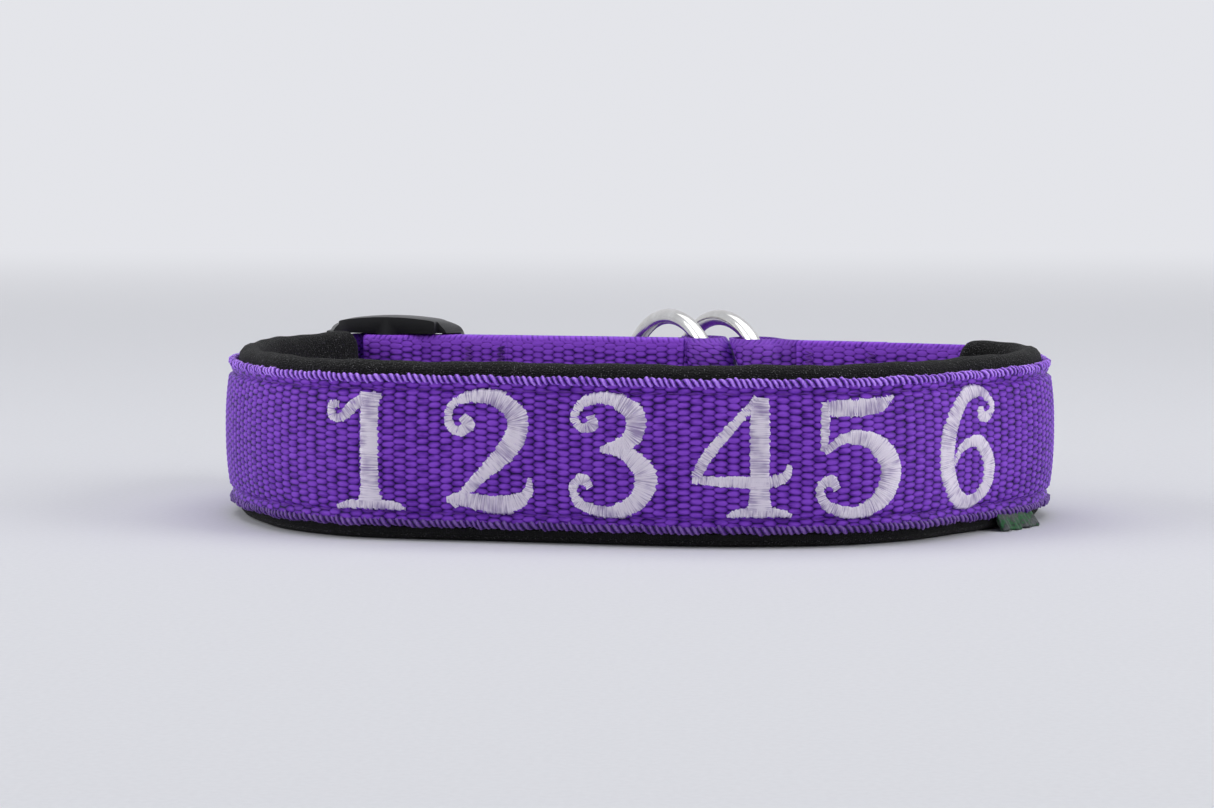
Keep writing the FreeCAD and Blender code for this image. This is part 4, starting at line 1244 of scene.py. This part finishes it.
# %% Make the slip loop and its lap
def loop_strip(name, route, s):
    rows, v = strip_rows(route, s, LOOP_WIDTH, RING_MIDDLE, LOOP_THICK)
    return swept(name, drooped(rows), s, v)


around = loop_line[0][-1]
slip_loop = loop_strip("slip_loop_webbing", loop_line, np.linspace(0, around, 260))
place(slip_loop, "slip_loop", LOOP_FINISH, "webbing", "slip_loop")
left_way = -LOOP_ACROSS * math.cos(LOOP_SLOPE) + LOOP_WAY * math.sin(LOOP_SLOPE)
lap_along = -left_of(left_way)
lap_origin = LEFT_FAR + left_way * (EYE + LOOP_THICK * 1.5 + 0.05)
lap_ends = [lap_origin + lap_along * (LOOP_LAP_AT + LOOP_LAP), lap_origin + lap_along * LOOP_LAP_AT]
loop_lap = loop_strip("loop_lap_webbing", trace(lap_ends, []), np.linspace(0, LOOP_LAP, 30))
place(loop_lap, "slip_loop", LOOP_FINISH, "webbing", "loop_lap")
pivot = Matrix.Translation(Vector((*BETWEEN, RING_MIDDLE)) * MM)
droop = pivot @ Matrix.Rotation(-LOOP_TILT, 4, Vector((*LOOP_ACROSS, 0))) @ pivot.inverted()
tacks = []
for share in TACK_SHARES:
    tack = bar_tack(lap_origin, lap_along, left_way, LOOP_LAP_AT + LOOP_LAP * share, LOOP_THICK / 2, 1,
                    RING_MIDDLE - LOOP_WIDTH / 2, RING_MIDDLE + LOOP_WIDTH / 2)
    tack.data.transform(droop)
    tacks.append(tack)
place(joined("loop_tacks", tacks), "slip_loop", SEWING_FINISH, "sewing_thread", "loop_bar_tacks")

# %% [markdown]
# ## The side tab
# A small folded tab of cloth is caught in the seam under the band's right edge. It is a strip bent
# double, so it is swept along its own fold, and left plain.

# %% Make the tab
tab_low, tab_high = [np.array(c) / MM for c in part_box("side_tab")]


def make_tab():
    centre = ((tab_low + tab_high) / 2)[:2]
    in_front = front_spots[:, 1] < 0
    middle = front_s[in_front][np.argmin(np.linalg.norm(front_spots[in_front] - centre, axis=1))]
    s = middle + np.linspace(-0.5, 12.5, 53)
    line = [(-0.2, 3.6), (0.3, 2.6), (0.9, 1.7), (1.5, 0.8), (1.9, 0.35), (1.7, 0.28), (1.3, 0.6),
            (0.9, 1.2), (0.3, 2.0), (-0.2, 2.9)]
    line = smooth_line([(*p, 0.0) for p in line], 0.25)[1][:, :2]
    half = left_of(ways(line)) * 0.34 / 2
    section = np.vstack([line - half, (line + half)[::-1]])
    s_grid, out = np.meshgrid(s, section[:, 0], indexing="ij")
    height = np.broadcast_to(section[:, 1], out.shape)
    free = ease((web_low.z + 0.4 - height) / 2)
    crumple = 0.30 * np.sin((s_grid - middle) * 1.7 + 0.6) + 0.16 * np.sin((s_grid - middle) * 3.9)
    spot, left = walk(BAND, s_grid)
    plan = spot - left * (out + WEB_THICK / 2 - 0.2 + crumple * free)[..., None]
    lifted = np.maximum(height + 0.22 * free * np.sin((s_grid - middle) * 1.1), 0.08)
    rows = np.concatenate([plan, lifted[..., None]], -1)
    return swept("side_tab_cloth", rows, s, run_along(section))


place(make_tab(), "band", TAB_FINISH, "tab_cloth", "side_tab")


# %% [markdown]
# ## Floor, light and camera
# The collar stands on a plain pale floor that curves up behind it, so no edge shows. A broad soft
# lamp above, one at each side and a weak one in front light it: the sides are a little brighter
# than the middle of the front, which gives the band its roundness.

# %% Floor and backdrop, in metres
FLOOR_FRONT = -1.6
FLOOR_RUN = 3.2
BEND_RUN = 1.6                # length of the curve between the floor and the backdrop
BEND_RADIUS = 1.02
STAGE_RUN = 7.0
STAGE_WIDE = 8.0


def bright_seen(make, low, high):
    """One value where the camera or a reflection looks, another for the light that it gives."""
    rays = make.add("ShaderNodeLightPath")
    seen = make.maths("MAXIMUM", rays.outputs["Is Camera Ray"], rays.outputs["Is Glossy Ray"])
    return make.maths("MULTIPLY_ADD", seen, high - low, low)


def plain_stage():
    bpy.ops.object.select_all(action="DESELECT")
    bpy.ops.mesh.primitive_grid_add(x_subdivisions=2, y_subdivisions=40, size=1.0)
    floor = bpy.context.object
    floor.name = "pale_floor"
    for vertex in floor.data.vertices:
        run = (vertex.co.y + 0.5) * STAGE_RUN
        bend = np.clip((run - FLOOR_RUN) / BEND_RUN, 0, 1) * math.pi / 2
        y = FLOOR_FRONT + min(run, FLOOR_RUN) + BEND_RADIUS * math.sin(bend)
        z = BEND_RADIUS * (1 - math.cos(bend)) + max(run - FLOOR_RUN - BEND_RUN, 0.0)
        vertex.co = (vertex.co.x * STAGE_WIDE, y, z)
    smooth(floor)
    make = new_finish("pale_floor_finish", Roughness=0.9, Specular_IOR_Level=0.1)
    grain = make.noise(make.place("Object"), 900.0, 2.0)
    make.colour(make.ramp(grain, (0.3, (0.775, 0.78, 0.815)), (0.7, (0.80, 0.805, 0.84))))
    glow = make.add("ShaderNodeEmission")
    glow.inputs[0].default_value = (0.775, 0.782, 0.82, 1)
    blend = make.add("ShaderNodeMixShader")
    far = make.step(make.parts("Object")[1], 0.2, 1.4)
    make.feed(make.maths("MULTIPLY", far, bright_seen(make, 0.0, 1.0)), blend.inputs[0])
    make.feed(make.shader.outputs[0], blend.inputs[1])
    make.feed(glow.outputs[0], blend.inputs[2])
    make.feed(blend.outputs[0], make.tree.nodes["Material Output"].inputs[0])
    floor.data.materials.append(make.owner)


plain_stage()


# %% Lamps and world
def soft_lamp(name, spot, target, width, height, watts):
    lamp = bpy.data.lights.new(name, "AREA")
    lamp.shape = "RECTANGLE"
    lamp.size = width
    lamp.size_y = height
    lamp.energy = watts
    holder = bpy.data.objects.new(name, lamp)
    holder.location = spot
    holder.rotation_euler = (Vector(target) - Vector(spot)).to_track_quat("-Z", "Y").to_euler()
    bpy.context.scene.collection.objects.link(holder)


soft_lamp("lamp_above", (0.0, 0.15, 1.3), (0, 0, 0), 1.6, 1.2, 8.0)
soft_lamp("lamp_left", (-1.2, -0.3, 0.65), (0, 0, 0.02), 0.9, 0.9, 6.2)
soft_lamp("lamp_right", (1.2, -0.35, 0.65), (0, 0, 0.02), 0.9, 0.9, 7.4)
soft_lamp("lamp_front", (0.1, -1.3, 0.9), (0, 0, 0.02), 0.9, 0.6, 0.2)

world = bpy.data.worlds.new("pale_room")
bpy.context.scene.world = world
world.use_nodes = True
make = Nodes(world)
background = world.node_tree.nodes["Background"]
background.inputs[0].default_value = (0.90, 0.92, 0.97, 1)
make.feed(bright_seen(make, 0.30, 0.82), background.inputs[1])

# %% Camera
LENS = 94.9                   # millimetres, on a 36 mm wide sensor
CAMERA_BACK = 617.0           # in front of the collar's middle
CAMERA_HIGH = 82.9
CAMERA_DOWN = 5.05            # degrees below level
CAMERA_TURN = 0.59            # degrees to the left
camera_data = bpy.data.cameras.new("camera")
camera_data.lens = LENS
camera_data.sensor_width = 36.0
camera_data.clip_end = 50.0
camera = bpy.data.objects.new("camera", camera_data)
camera.location = Vector((MOVE[0], MOVE[1] - CAMERA_BACK, CAMERA_HIGH)) * MM
camera.rotation_euler = (math.radians(90 - CAMERA_DOWN), 0.0, math.radians(CAMERA_TURN))
bpy.context.scene.collection.objects.link(camera)
bpy.context.scene.camera = camera
bpy.context.scene.view_settings.view_transform = "Standard"
